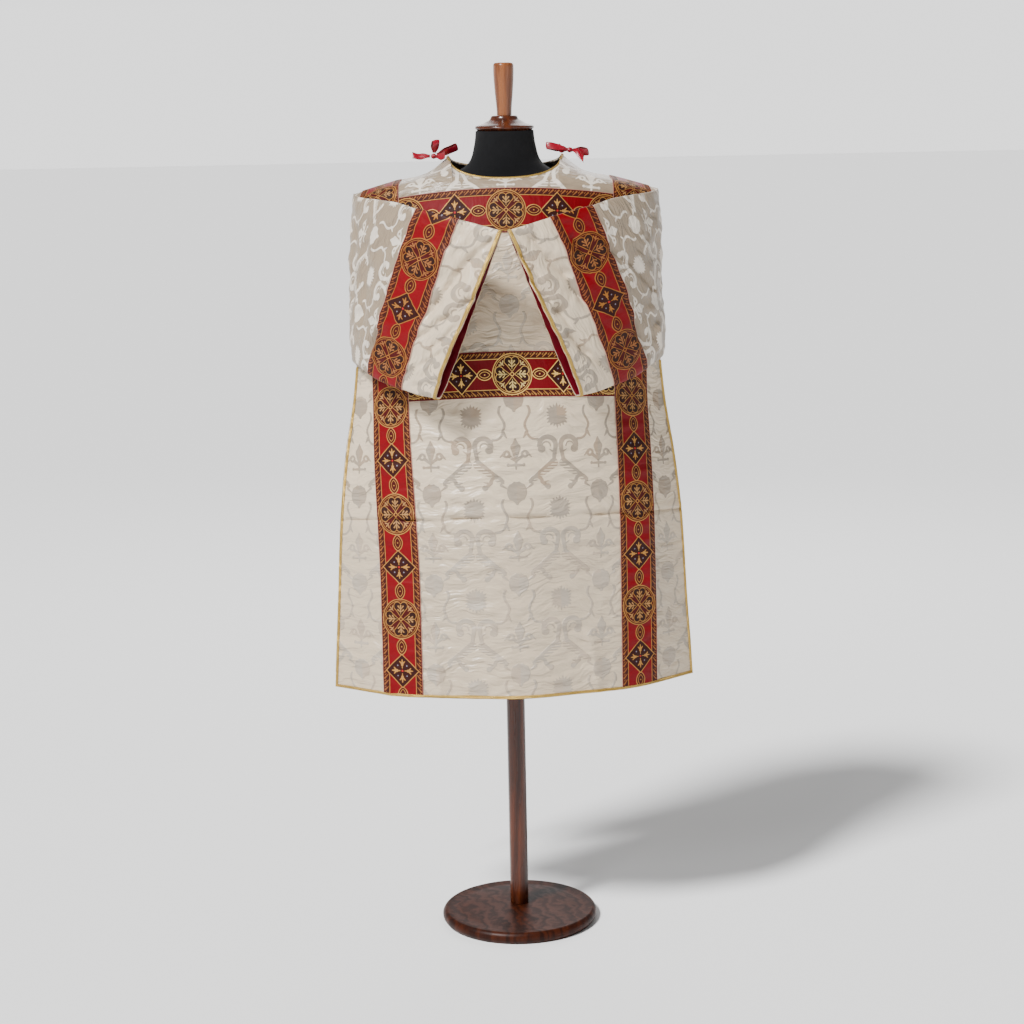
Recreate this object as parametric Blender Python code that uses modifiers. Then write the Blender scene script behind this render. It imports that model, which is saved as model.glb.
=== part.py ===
"""A Roman dalmatic on a limbless dress form.

Metres, +Z up.  The origin is the centre of the base's underside.  The wearer faces -Y and the
wearer's right hand is at -X.  Every cloth piece is a thin wall.  The two panels hang from the
shoulder line, each on a grid of flat distances (across, down) of the cut cloth, and the bands
and braids that lie on a panel are made from that panel's own grid points, moved out.
"""
import math
from collections import namedtuple

import bmesh
import bpy
import numpy as np
from mathutils import Matrix

# ---------------------------------------------------------------- driving dimensions
CLOTH_WALL = 0.0016          # damask, interlining and lining together
BAND_WALL = 0.0012           # woven orphrey band
BRAID_WALL = 0.0020          # gold braid
LINING_WALL = 0.0010
SEAM_GAP = 0.0003            # between pieces that meet or lie on each other
BAND_WIDTH = 0.082
BAND_INNER = 0.197           # flat distance from the centre line to a clavus
BRAID_WIDTH = 0.006

NECK_HALF_CUT = 0.095        # flat half width of the neck opening
NECK_TIP_ACROSS = 0.103      # where the neckline meets the shoulder line
NECK_TIP_HEIGHT = 1.475
NECK_ROUND = 2.3             # exponent of the neckline's oval
SHOULDER_EASE = 0.97         # the shoulder line lies this much shorter than it is cut
SLIT_LENGTH = 0.075          # of the tied slit next to the neck, along the shoulder
SLIT_OPEN = 0.005
CHEST_DOWN = 0.100           # flat distance from the shoulder line to the chest band
EDGE_CUT = 0.300             # nominal flat half width: column value of a panel's side edge
SECTION_ROUND = 2.2          # exponent of a panel's bow from its centre to its edges
TWIST = math.radians(4.0)    # the skirt hangs turned this much to the wearer's left
TWIST_HEIGHTS = (1.40, 0.85)
SKIRT_SHIFT = -0.004         # and is drawn this much to the wearer's right
CLAVUS_LEAN = 0.015          # the wearer's right clavi hang this much nearer the centre at the hem
LEAN_DOWNS = (0.45, 0.85)    # flat distances over which they lean in
FLUTE_DEPTH = 0.004          # soft upright waves at the hem
FLUTE_PITCH = 0.230
FLUTE_DOWNS = (0.47, 0.97)   # flat distances over which they grow

# The shoulder line, from the neck to the sleeve's seam.
Ridge = namedtuple("Ridge", "across height forward")
SHOULDER = (
    Ridge(0.103, 1.4750, 0.000),
    Ridge(0.140, 1.4470, 0.000),
    Ridge(0.200, 1.4320, 0.010),
    Ridge(0.275, 1.4115, 0.045),
)

# A panel's level lines.  height and depth are those of its centre line, edge_depth is the
# depth of its side edge, and edge_drop is how much lower that edge hangs.
Level = namedtuple("Level", "name height depth half_width edge_depth edge_drop")
FRONT_LEVELS = (
    Level("chest band top", 1.4220, -0.129, 0.2720, -0.062, 0.032),
    Level("chest band foot", 1.3436, -0.153, 0.2710, -0.066, 0.030),
    Level("breast", 1.2420, -0.171, 0.2710, -0.062, 0.030),
    Level("waist band top", 1.1350, -0.181, 0.2800, -0.052, 0.029),
    Level("waist band foot", 1.0532, -0.186, 0.2890, -0.048, 0.027),
    Level("hip", 0.9450, -0.191, 0.3060, -0.053, 0.023),
    Level("pressed crease", 0.8350, -0.199, 0.3180, -0.062, 0.020),
    Level("thigh", 0.6600, -0.198, 0.3290, -0.060, 0.012),
    Level("hem", 0.4990, -0.202, 0.3390, -0.055, 0.005),
)
BACK_LEVELS = (
    Level("chest band top", 1.4150, 0.106, 0.2720, -0.012, 0.024),
    Level("chest band foot", 1.3360, 0.127, 0.2710, 0.020, 0.022),
    Level("shoulder blade", 1.2390, 0.136, 0.2710, 0.034, 0.026),
    Level("waist band top", 1.1350, 0.138, 0.2800, 0.030, 0.029),
    Level("waist band foot", 1.0532, 0.142, 0.2890, 0.034, 0.027),
    Level("hip", 0.9450, 0.152, 0.3060, 0.044, 0.023),
    Level("pressed crease", 0.8350, 0.162, 0.3180, 0.052, 0.020),
    Level("thigh", 0.6600, 0.168, 0.3290, 0.056, 0.012),
    Level("hem", 0.4990, 0.174, 0.3390, 0.058, 0.005),
)

# neck_depth: how far the neckline reaches from the shoulder line; neck_height: its lowest
# point; neck_drop: the same in the flat cut.
Cut = namedtuple("Cut", "levels facing neck_depth neck_height neck_drop")
FRONT = Cut(FRONT_LEVELS, -1, -0.100, 1.438, 0.066)
BACK = Cut(BACK_LEVELS, 1, 0.066, 1.452, 0.040)

# The grid lines of a panel, so that they run through the edges of every band and braid.
HALF_COLUMNS = (0.0, 0.035, 0.065, 0.085, NECK_HALF_CUT, 0.141, BAND_INNER,
                BAND_INNER + BAND_WIDTH / 2, BAND_INNER + BAND_WIDTH, 0.287,
                EDGE_CUT - BRAID_WIDTH, EDGE_CUT)
YOKE_CELLS = 4
CELLS_BETWEEN = (2, 2, 2, 2, 2, 2, 3, 3)     # rows of cells between the levels above

# The sleeve hangs as a flat tube round the body's side: a superellipse in plan from the
# centre front to the side, then straight back to the seam.
SLEEVE_SIDE_TOP = 0.277      # half width at the sleeve's upper fold
SLEEVE_SIDE_FOOT = 0.283
SLEEVE_SHIFT = -0.003        # both cuffs hang a little to the wearer's right
SLEEVE_CENTRE_Y = -0.075
SLEEVE_REACH_TOP = 0.200     # from the side line forward to the cuff
SLEEVE_REACH_FOOT = 0.218
SLEEVE_ROUND = 1.42           # exponent of the plan line, 2 being an ellipse, 1 straight
CUFF_TOP_START = 0.0045      # the cuff's top corner from where the cuffs meet
CUFF_FOOT_START = 0.130      # the cuff's lower corner, along the plan line
CUFF_SLANT = 1.085           # plan distance for one unit measured square to the cuff
SLEEVE_BAND_START = 0.072    # from the cuff to the sleeve's band
MOUTH_BACK = 0.005           # the cuff's outer layer is drawn back from the mouth
MOUTH_FORTH = 0.001          # and its rear layer reaches nearer the centre
MOUTH_OPEN = 0.18            # how much wider the layers part low in the mouth
MOUTH_OPEN_FROM = 0.40       # as shares of the way down the cuff
MOUTH_OPEN_OVER = 0.40
MOUTH_FADE = 0.10            # distance from the cuff over which the mouth's shape ends
SWELL_POWER = 0.4            # roundness of the folds at the sleeve's top and foot
UNDERARM_SAG = 0.004
ARMHOLE_GAP = 0.0012
MITRE_FROM = 0.4             # walls share an end direction when theirs agree this much
Fold = namedtuple("Fold", "across top foot")
SLEEVE_FOLDS = (             # heights of the sleeve's upper and lower folded edge
    Fold(0.000, 1.354, 1.058),
    Fold(0.080, 1.375, 1.059),
    Fold(0.120, 1.384, 1.061),
    Fold(0.155, 1.392, 1.065),
    Fold(0.190, 1.402, 1.074),
    Fold(0.225, 1.406, 1.084),
    Fold(0.255, 1.408, 1.098),
    Fold(0.287, 1.4125, 1.112),
)
SEAM_SHARE = 0.97            # the seam's lowest row on the way down to the underarm fold
CUFF_CELLS = 3
BAND_CELLS = 3
UPPER_CELLS = 6
HALF_GAP_CUFF = 0.012
HALF_GAP_SIDE = 0.0075
SEAM_BLEND_START = 0.65      # share of the upper sleeve that keeps its own shape

# Soft diagonal troughs of the sleeves' outer layer, in plan distance and height.
Trough = namedtuple("Trough", "side start_along start_height end_along end_height width depth")
TROUGHS = (
    Trough(-1, 0.023, 1.335, 0.164, 1.205, 0.020, 0.0055),
    Trough(-1, 0.114, 1.185, 0.195, 1.118, 0.016, 0.0025),
    Trough(1, 0.031, 1.345, 0.136, 1.245, 0.020, 0.0055),
    Trough(1, 0.080, 1.235, 0.147, 1.150, 0.016, 0.0035),
    Trough(1, 0.331, 1.330, 0.372, 1.190, 0.030, 0.0090),
)

# The dress form.
Ring = namedtuple("Ring", "height half_width half_depth centre_y")
TORSO = (
    Ring(0.8000, 0.1450, 0.0950, -0.002),
    Ring(0.8120, 0.1600, 0.1080, -0.002),
    Ring(0.9000, 0.1680, 0.1140, -0.004),
    Ring(1.0000, 0.1560, 0.1060, -0.004),
    Ring(1.1000, 0.1380, 0.0980, -0.004),
    Ring(1.1900, 0.1500, 0.1060, -0.006),
    Ring(1.2800, 0.1680, 0.1140, -0.008),
    Ring(1.3500, 0.1840, 0.1040, -0.004),
    Ring(1.3850, 0.1930, 0.0880, 0.000),
    Ring(1.4050, 0.1900, 0.0760, 0.002),
    Ring(1.4180, 0.1740, 0.0680, 0.004),
    Ring(1.4290, 0.1480, 0.0620, 0.004),
    Ring(1.4380, 0.1160, 0.0590, 0.003),
    Ring(1.4480, 0.0860, 0.0570, 0.002),
    Ring(1.4650, 0.0650, 0.0550, 0.000),
    Ring(1.4950, 0.0560, 0.0540, 0.000),
    Ring(1.5192, 0.0530, 0.0530, 0.000),
)
TORSO_SIDES = 28
TORSO_ROUND = 0.92           # exponent of the torso's rings, 1 being an ellipse
TURNED_STEPS = 24
BASE_RADIUS = 0.150
POST_RADIUS = 0.0175
HANDLE_TOP = 1.642

TINY = 1e-9
COLLECTION = "dalmatic_on_dress_form"
DAMASK = (0.80, 0.75, 0.66)
ORPHREY = (0.50, 0.03, 0.04)
GOLD = (0.60, 0.42, 0.14)
CRIMSON = (0.42, 0.01, 0.03)
JERSEY = (0.01, 0.01, 0.012)
WALNUT = (0.16, 0.05, 0.02)
BEECH = (0.30, 0.12, 0.045)


# ---------------------------------------------------------------- curves and grids
def through(knots, values, at):
    """Smooth curve through the knots: cubic Hermite pieces with central-difference slopes."""
    knots = np.asarray(knots, float)
    values = np.asarray(values, float)
    slopes = np.gradient(values, knots)
    at = np.clip(np.asarray(at, float), knots[0], knots[-1])
    piece = np.clip(np.searchsorted(knots, at, side="right") - 1, 0, len(knots) - 2)
    span = knots[piece + 1] - knots[piece]
    t = (at - knots[piece]) / span
    return ((2 * t**3 - 3 * t**2 + 1) * values[piece] + (t**3 - 2 * t**2 + t) * span * slopes[piece]
            + (3 * t**2 - 2 * t**3) * values[piece + 1] + (t**3 - t**2) * span * slopes[piece + 1])


def smooth_step(t):
    """0 before 0, 1 after 1, an even S-curve between."""
    t = np.clip(t, 0.0, 1.0)
    return t * t * (3 - 2 * t)


def part_way(value, limits):
    """The S-curve from 0 at the first limit to 1 at the second."""
    return smooth_step((value - limits[0]) / (limits[1] - limits[0]))


def unit(vectors):
    return vectors / np.linalg.norm(vectors, axis=-1, keepdims=True)


def level_downs(cut):
    """Flat distance from the shoulder line to each level, along the centre line."""
    heights = np.array([level.height for level in cut.levels])
    depths = np.array([level.depth for level in cut.levels])
    steps = np.hypot(np.diff(heights), np.diff(depths))
    return CHEST_DOWN + np.concatenate([[0.0], np.cumsum(steps)])


def fanned(distance, start, edge):
    """Columns beyond the clavus, spread from start to the panel's edge; the braid keeps its width."""
    outer = BAND_INNER + BAND_WIDTH
    braid = EDGE_CUT - BRAID_WIDTH
    spread = start + (distance - outer) / (braid - outer) * (edge - BRAID_WIDTH - start)
    return np.where(distance > braid, edge - (EDGE_CUT - distance), spread)


def hung_points(cut, across, down):
    """Points of a panel at and below the chest band.

    Each level line is x = w s, y = depth + bow s^n, z = height - drop s^2 for s from 0 to 1.
    A column keeps its flat distance from the centre line as arc length along that line, less
    the clavus' lean, and beyond the clavus the columns fan out to the panel's edge.
    """
    downs = level_downs(cut)
    share = np.linspace(0.0, 1.0, 65)
    outer = BAND_INNER + BAND_WIDTH
    points = np.empty(across.shape + (3,))
    for row in range(across.shape[0]):
        v = down[row, 0]
        height, depth, width, edge_depth, drop = (
            through(downs, [getattr(level, name) for level in cut.levels], v)
            for name in ("height", "depth", "half_width", "edge_depth", "edge_drop"))
        x = width * share
        y = depth + (edge_depth - depth) * share**SECTION_ROUND
        z = height - drop * share**2
        arc = np.concatenate([[0.0], np.cumsum(np.sqrt(
            np.diff(x)**2 + np.diff(y)**2 + np.diff(z)**2))])
        u = np.abs(across[row])
        lean = CLAVUS_LEAN * part_way(v, LEAN_DOWNS) * (across[row] < 0)
        u = np.where(u > outer, fanned(u, outer - lean, arc[-1]), u - lean * np.minimum(u / BAND_INNER, 1))
        wave = FLUTE_DEPTH * part_way(v, FLUTE_DOWNS) * np.cos(2 * np.pi * u / FLUTE_PITCH)
        points[row, :, 0] = np.sign(across[row]) * np.interp(u, arc, x)
        points[row, :, 1] = np.interp(u, arc, y) + cut.facing * wave
        points[row, :, 2] = np.interp(u, arc, z)
    return points


def top_edge(cut, across):
    """The panel's upper edge: the neckline's oval, then the shoulder line."""
    u = np.abs(across)
    rise = np.clip(1 - (u / NECK_HALF_CUT)**NECK_ROUND, 0, 1)**(1 / NECK_ROUND)
    ridge = np.array([(r.across, -r.forward, r.height) for r in SHOULDER])
    arc = NECK_HALF_CUT + np.concatenate([[0.0], np.cumsum(
        np.linalg.norm(np.diff(ridge, axis=0), axis=1))]) / SHOULDER_EASE
    clavus = BAND_INNER + BAND_WIDTH
    seat = np.where(u > clavus, fanned(u, clavus, arc[-1]), u)
    on_neck = u < NECK_HALF_CUT
    x = np.where(on_neck, u / NECK_HALF_CUT * NECK_TIP_ACROSS, through(arc, ridge[:, 0], seat))
    y = np.where(on_neck, cut.neck_depth * rise, through(arc, ridge[:, 1], seat))
    z = np.where(on_neck, NECK_TIP_HEIGHT - (NECK_TIP_HEIGHT - cut.neck_height) * rise,
                 through(arc, ridge[:, 2], seat))
    along = np.clip((u - NECK_HALF_CUT) / SLIT_LENGTH, 0, 1)
    gap = SEAM_GAP / 2 + SLIT_OPEN / 2 * np.sin(np.pi * along)**0.5 * (along < 1)
    y = y + cut.facing * np.where(on_neck, SEAM_GAP / 2, gap)
    return np.stack([np.sign(across) * x, y, z], axis=-1)


def top_down(cut, across):
    """Flat distance from the shoulder line to the panel's upper edge."""
    share = np.clip(np.abs(across) / NECK_HALF_CUT, 0, 1)
    return cut.neck_drop * np.clip(1 - share**NECK_ROUND, 0, 1)**(1 / NECK_ROUND)


def panel_points(cut, across, down):
    """A whole panel: the yoke is a Hermite curve from the upper edge into the chest band."""
    points = np.empty(across.shape + (3,))
    hung = down[:, 0] >= CHEST_DOWN - TINY
    points[hung] = hung_points(cut, across[hung], down[hung])
    yoke = ~hung
    column = across[:1]
    chest = np.full_like(column, CHEST_DOWN)
    foot = hung_points(cut, column, chest)
    foot_way = unit(hung_points(cut, column, chest + 0.01) - foot)
    top = top_edge(cut, column)
    chord = foot - top
    top_way = unit(chord * np.array([1.0, 1.0, 0.5]))
    length = np.linalg.norm(chord, axis=-1, keepdims=True)
    start = top_down(cut, across[yoke])
    t = ((down[yoke] - start) / (CHEST_DOWN - start))[..., None]
    points[yoke] = ((2 * t**3 - 3 * t**2 + 1) * top + (t**3 - 2 * t**2 + t) * length * top_way
                    + (3 * t**2 - 2 * t**3) * foot + (t**3 - t**2) * length * foot_way)
    turn = TWIST * part_way(points[..., 2], TWIST_HEIGHTS)
    x = points[..., 0] * np.cos(turn) - points[..., 1] * np.sin(turn) + SKIRT_SHIFT * turn / TWIST
    y = points[..., 0] * np.sin(turn) + points[..., 1] * np.cos(turn)
    return np.stack([x, y, points[..., 2]], axis=-1)


def panel_grid(cut):
    """(across, down) of every grid point, and the row numbers of the levels."""
    half = np.array(HALF_COLUMNS)
    columns = np.concatenate([-half[:0:-1], half])
    downs = level_downs(cut)
    lower = [CHEST_DOWN]
    marks = [YOKE_CELLS + 1]
    for cells, (a, b) in zip(CELLS_BETWEEN, zip(downs, downs[1:])):
        lower.extend(a + (b - a) * np.arange(1, cells + 1) / cells)
        marks.append(marks[-1] + cells)
    lower.insert(-1, lower[-1] - BRAID_WIDTH)
    start = top_down(cut, columns)
    share = np.linspace(0, 1, YOKE_CELLS + 1)[:-1, None]
    yoke = start + BRAID_WIDTH + (CHEST_DOWN - start - BRAID_WIDTH) * share
    down = np.vstack([start[None], yoke, np.repeat(np.array(lower)[:, None], len(columns), axis=1)])
    across = np.repeat(columns[None], len(down), axis=0)
    return across, down, marks


def grid_faces(rows, columns, cells, flip, wrap=False, mirrored=True):
    """Two triangles for each listed cell, with the diagonals mirrored about the middle."""
    faces = []
    for row, column in cells:
        after = (column + 1) % columns if wrap else column + 1
        a, b = row * columns + column, row * columns + after
        d, c = a + columns, b + columns
        if mirrored and column < (columns - 1) / 2:
            pair = [(a, d, c), (a, c, b)]
        else:
            pair = [(a, d, b), (b, d, c)]
        faces.extend(tuple(reversed(f)) if flip else f for f in pair)
    return faces


def vertex_normals(points, faces):
    faces = np.array(faces)
    corners = points[faces]
    face_normals = np.cross(corners[:, 1] - corners[:, 0], corners[:, 2] - corners[:, 0])
    normals = np.zeros_like(points)
    for corner in range(3):
        np.add.at(normals, faces[:, corner], face_normals)
    length = np.linalg.norm(normals, axis=1, keepdims=True)
    return normals / np.where(length > 0, length, 1)


# ---------------------------------------------------------------- objects
def make_material(name, colour, roughness, metallic=0.0):
    material = bpy.data.materials.new(name)
    material.use_nodes = True
    shader = material.node_tree.nodes["Principled BSDF"]
    shader.inputs["Base Color"].default_value = (*colour, 1.0)
    shader.inputs["Roughness"].default_value = roughness
    shader.inputs["Metallic"].default_value = metallic
    material.diffuse_color = (*colour, 1.0)
    return material


def add_object(name, mesh, colour, roughness, metallic=0.0, sharp_angle=40):
    mesh.shade_smooth()
    mesh.set_sharp_from_angle(angle=math.radians(sharp_angle))
    mesh.materials.append(make_material(name, colour, roughness, metallic))
    thing = bpy.data.objects.new(name, mesh)
    bpy.data.collections[COLLECTION].objects.link(thing)
    return thing


def wall_mesh(name, skin, way, faces, low, high):
    """A closed wall over the faces, from skin + low * way out to skin + high * way."""
    used = sorted({v for face in faces for v in face})
    place = {v: i for i, v in enumerate(used)}
    count = len(used)
    outer = skin[used] + high * way[used]
    inner = skin[used] + low * way[used]
    tris = [tuple(place[v] for v in face) for face in faces]
    edges = {(f[i], f[(i + 1) % 3]) for f in tris for i in range(3)}
    rim = [(a, b) for a, b in sorted(edges) if (b, a) not in edges]
    solid = list(tris) + [(c + count, b + count, a + count) for a, b, c in tris]
    for a, b in rim:
        solid += [(b, a, a + count), (b, a + count, b + count)]
    mesh = bpy.data.meshes.new(name)
    mesh.from_pydata(np.vstack([outer, inner]).tolist(), [], solid)
    mesh.validate()
    return mesh


class Panel:
    """One panel's grid, its outward directions and the pieces that lie on it."""

    def __init__(self, cut):
        self.cut = cut
        self.across, self.down, self.marks = panel_grid(cut)
        self.rows, self.columns = self.across.shape
        self.points = panel_points(cut, self.across, self.down)
        self.flip = cut.facing > 0
        cells = [(r, c) for r in range(self.rows - 1) for c in range(self.columns - 1)]
        self.faces = self.cell_faces(cells)
        flat = self.points.reshape(-1, 3)
        self.way = vertex_normals(flat, self.faces).reshape(self.points.shape)
        shoulder = np.abs(self.across[0]) >= NECK_HALF_CUT - TINY
        self.way[0, shoulder, 1] = 0.0
        self.way[0] = unit(self.way[0])

    def cell_faces(self, cells):
        return grid_faces(self.rows, self.columns, cells, self.flip)

    def column(self, across):
        return int(np.argmin(np.abs(self.across[0] - across)))

    def wall(self, name):
        mesh = wall_mesh(name, self.points.reshape(-1, 3), self.way.reshape(-1, 3), self.faces,
                         -CLOTH_WALL, 0.0)
        return add_object(name, mesh, DAMASK, 0.45)

    def trim(self, name, cells, wall, colour, roughness, metallic=0.0, insets=()):
        """A strip over some cells.  insets: (axis, line, towards), pulled back by the gap."""
        skin = self.points.copy()
        for axis, line, towards in insets:
            lines = skin.swapaxes(0, axis)
            step = lines[towards] - lines[line]
            lines[line] += step * SEAM_GAP / np.linalg.norm(step, axis=-1, keepdims=True)
        mesh = wall_mesh(name, skin.reshape(-1, 3), self.way.reshape(-1, 3),
                         self.cell_faces(cells), SEAM_GAP, SEAM_GAP + wall)
        return add_object(name, mesh, colour, roughness, metallic)


def block(rows, columns):
    return [(r, c) for r in range(*rows) for c in range(*columns)]


def add_panel_trims(panel, name):
    """Two clavi, two cross bands, the neckline's braid and the braid of slits and hem."""
    last = panel.rows - 2
    outer = BAND_INNER + BAND_WIDTH
    for side, word in ((-1, "right"), (1, "left")):
        first, second = sorted(panel.column(side * edge) for edge in (BAND_INNER, outer))
        panel.trim(f"clavus_{name}_{word}", block((0, last), (first, second)), BAND_WALL,
                   ORPHREY, 0.5, insets=((0, last, last - 1),))
    inner = panel.column(-BAND_INNER), panel.column(BAND_INNER)
    ends = ((1, inner[0], inner[0] + 1), (1, inner[1], inner[1] - 1))
    for word, level in (("chest", 0), ("waist", 3)):
        rows = panel.marks[level], panel.marks[level + 1]
        panel.trim(f"band_{name}_{word}", block(rows, inner), BAND_WALL, ORPHREY, 0.5,
                   insets=ends)
    neck = panel.column(-NECK_HALF_CUT), panel.column(NECK_HALF_CUT)
    panel.trim(f"braid_neck_{name}", block((0, 1), neck), BRAID_WALL, GOLD, 0.35, 0.6)
    slit = panel.marks[3] + 1, last
    edge = panel.columns - 2
    cells = (block(slit, (0, 1)) + block(slit, (edge, edge + 1))
             + block((last, last + 1), (0, edge + 1)))
    panel.trim(f"braid_hem_{name}", cells, BRAID_WALL, GOLD, 0.35, 0.6)


# ---------------------------------------------------------------- sleeves
def plan_line(along, height):
    """Plan point, outward normal and curved length at a distance along the sleeve's plan line.

    x = side * sin(turn)^(2/n), y = centre - reach * cos(turn)^(2/n), then straight back.
    """
    turn = np.linspace(0.0, np.pi / 2, 121)
    power = 2 / SLEEVE_ROUND
    over, ahead = np.sin(turn)**power, np.clip(np.cos(turn), 0, 1)**power
    side = (SLEEVE_SIDE_TOP + SLEEVE_SIDE_FOOT) / 2
    reach = (SLEEVE_REACH_TOP + SLEEVE_REACH_FOOT) / 2
    arc = np.concatenate([[0.0], np.cumsum(np.hypot(side * np.diff(over), reach * np.diff(ahead)))])
    low = np.clip((SLEEVE_FOLDS[0].top - height) / (SLEEVE_FOLDS[0].top - SLEEVE_FOLDS[0].foot), 0, 1)
    side = SLEEVE_SIDE_TOP + (SLEEVE_SIDE_FOOT - SLEEVE_SIDE_TOP) * low
    reach = SLEEVE_REACH_TOP + (SLEEVE_REACH_FOOT - SLEEVE_REACH_TOP) * low
    x = side * np.interp(along, arc, over)
    y = SLEEVE_CENTRE_Y - reach * np.interp(along, arc, ahead) + np.maximum(along - arc[-1], 0.0)
    step = 0.004
    x_run = side * (np.interp(along + step, arc, over) - np.interp(along - step, arc, over))
    y_run = -reach * (np.interp(along + step, arc, ahead) - np.interp(along - step, arc, ahead))
    y_run += np.clip(along + step - arc[-1], 0.0, 2 * step)
    return x, y, unit(np.stack([y_run, -x_run], axis=-1)), arc[-1]


def fold_height(along, name):
    x = plan_line(along, np.full_like(along, SLEEVE_FOLDS[0].top))[0]
    return through([f.across for f in SLEEVE_FOLDS], [getattr(f, name) for f in SLEEVE_FOLDS], x)


def trough_depth(side, along, height):
    """How far the troughs draw the outer layer in: a bell across, tapered at both ends."""
    total = np.zeros_like(along)
    for fold in TROUGHS:
        if fold.side != side:
            continue
        run = np.array([fold.end_along - fold.start_along, fold.end_height - fold.start_height])
        length = np.hypot(*run)
        a, z = along - fold.start_along, height - fold.start_height
        t = (a * run[0] + z * run[1]) / length**2
        off = (a * run[1] - z * run[0]) / length
        taper = smooth_step(t / 0.25 + 0.3) * smooth_step((1 - t) / 0.25 + 0.3)
        total += fold.depth * taper * np.exp(-(off / fold.width)**2)
    return total


def sleeve_points(side, stations, shares, layers, seam):
    """Rings of the sleeve's outer surface from cuff to armhole.

    A ring runs round the tube: share is the way down from the upper fold (0) to the lower
    one (1), layer is +1 on the outer layer, -1 on the one next to the body, 0 on the folds.
    A station is ("cuff", distance from the cuff) up to the band's end, then ("upper", share of
    the way from there to the seam), where the rings change smoothly into the armhole's own ring.
    """
    band_end = (SLEEVE_BAND_START + BAND_WIDTH) * CUFF_SLANT
    side_arc = plan_line(np.zeros(1), np.zeros(1))[3]
    seam_along = side_arc + seam[:, 1] - SLEEVE_CENTRE_Y
    share, layer = np.array(shares), np.array(layers, float)
    top_share, foot_share = int(np.argmin(share)), int(np.argmax(share))
    swell = (4 * share * (1 - share))**SWELL_POWER
    mouth_shift = np.where(layer > 0, MOUTH_BACK, -MOUTH_FORTH * (layer < 0))
    mouth_shift = mouth_shift * smooth_step((share - MOUTH_OPEN_FROM) / MOUTH_OPEN_OVER)
    rings = []
    for kind, value in stations:
        from_cuff = value * CUFF_SLANT if kind == "cuff" else band_end
        on = value if kind == "upper" else 0.0
        near_cuff = 1 - smooth_step((from_cuff + on * side_arc) / MOUTH_FADE)
        along = (CUFF_TOP_START + (CUFF_FOOT_START - CUFF_TOP_START) * share + from_cuff
                 + mouth_shift * near_cuff)
        along = along + (seam_along - along) * on
        z_top = fold_height(along[top_share:top_share + 1], "top")
        z_foot = fold_height(along[foot_share:foot_share + 1], "foot")
        z = z_top + (z_foot - z_top) * share
        x, y, normal, _ = plan_line(along, z)
        low_mouth = 1 + near_cuff * MOUTH_OPEN * smooth_step((share - MOUTH_OPEN_FROM) / MOUTH_OPEN_OVER)
        gap = (HALF_GAP_CUFF + (HALF_GAP_SIDE - HALF_GAP_CUFF) * on) * swell * low_mouth
        gap = gap - (layer > 0) * trough_depth(side, along, z) * swell
        ring = np.stack([x + normal[:, 0] * gap * layer, y + normal[:, 1] * gap * layer, z], axis=-1)
        ring[:, 0] = side * ring[:, 0] + SLEEVE_SHIFT * (1 - on)
        blend = smooth_step((on - SEAM_BLEND_START) / (1 - SEAM_BLEND_START))
        rings.append(ring + (seam - ring) * blend)
    return np.array(rings)


def sleeve_stations():
    stations = [("cuff", 0.0), ("cuff", BRAID_WIDTH)]
    stations += [("cuff", BRAID_WIDTH + (SLEEVE_BAND_START - BRAID_WIDTH) * (i + 1) / CUFF_CELLS)
                 for i in range(CUFF_CELLS)]
    stations += [("cuff", SLEEVE_BAND_START + BAND_WIDTH * (i + 1) / BAND_CELLS)
                 for i in range(BAND_CELLS)]
    stations += [("upper", (i + 1) / UPPER_CELLS) for i in range(UPPER_CELLS)]
    return stations


def armhole_ring(side, front, back):
    """The panels' side edges, moved out by the seam's gap, closed below by a sagging fold."""
    last = front.marks[3]
    edge = -1 if side > 0 else 0
    inner = -2 if side > 0 else 1
    edges = []
    for panel in (back, front):
        line = panel.points[:last + 1, edge]
        away = unit(line - panel.points[:last + 1, inner])
        edges.append(line + away * ARMHOLE_GAP)
    top = (edges[0][0] + edges[1][0]) / 2
    foot = (edges[0][-1] + edges[1][-1]) / 2 - np.array([0.0, 0.0, UNDERARM_SAG])
    ring = np.vstack([top, edges[0][1:], foot, edges[1][:0:-1]])
    share = front.down[:last + 1, edge] / front.down[last, edge] * SEAM_SHARE
    shares = np.concatenate([[0.0], share[1:], [1.0], share[:0:-1]])
    layers = np.concatenate([[0], np.ones(last), [0], -np.ones(last)])
    return ring, shares, layers, last


def add_sleeve(side, word, front, back):
    seam, shares, layers, last = armhole_ring(side, front, back)
    stations = sleeve_stations()
    points = sleeve_points(side, stations, shares, layers, seam)
    rows, columns = points.shape[:2]

    def faces_of(first, stop):
        cells = block((first, stop), (0, columns))
        return grid_faces(rows, columns, cells, side > 0, wrap=True, mirrored=False)

    faces = faces_of(0, rows - 1)
    skin = points.reshape(-1, 3)
    way = vertex_normals(skin, faces)
    mitre_seam(side, way.reshape(points.shape)[-1], front, back, last)
    add_object(f"sleeve_{word}", wall_mesh(f"sleeve_{word}", skin, way, faces, -CLOTH_WALL, 0.0),
               DAMASK, 0.45)
    band_start = 1 + CUFF_CELLS
    mesh = wall_mesh(f"band_sleeve_{word}", skin, way, faces_of(band_start, band_start + BAND_CELLS),
                     SEAM_GAP, SEAM_GAP + BAND_WALL)
    add_object(f"band_sleeve_{word}", mesh, ORPHREY, 0.5)
    mesh = wall_mesh(f"braid_cuff_{word}", skin, way, faces_of(0, 1), SEAM_GAP,
                     SEAM_GAP + BRAID_WALL)
    add_object(f"braid_cuff_{word}", mesh, GOLD, 0.35, 0.6)
    inside = -CLOTH_WALL - SEAM_GAP
    mesh = wall_mesh(f"lining_{word}", skin, way, faces_of(1, band_start), inside - LINING_WALL,
                     inside)
    add_object(f"lining_{word}", mesh, CRIMSON, 0.4)


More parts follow.
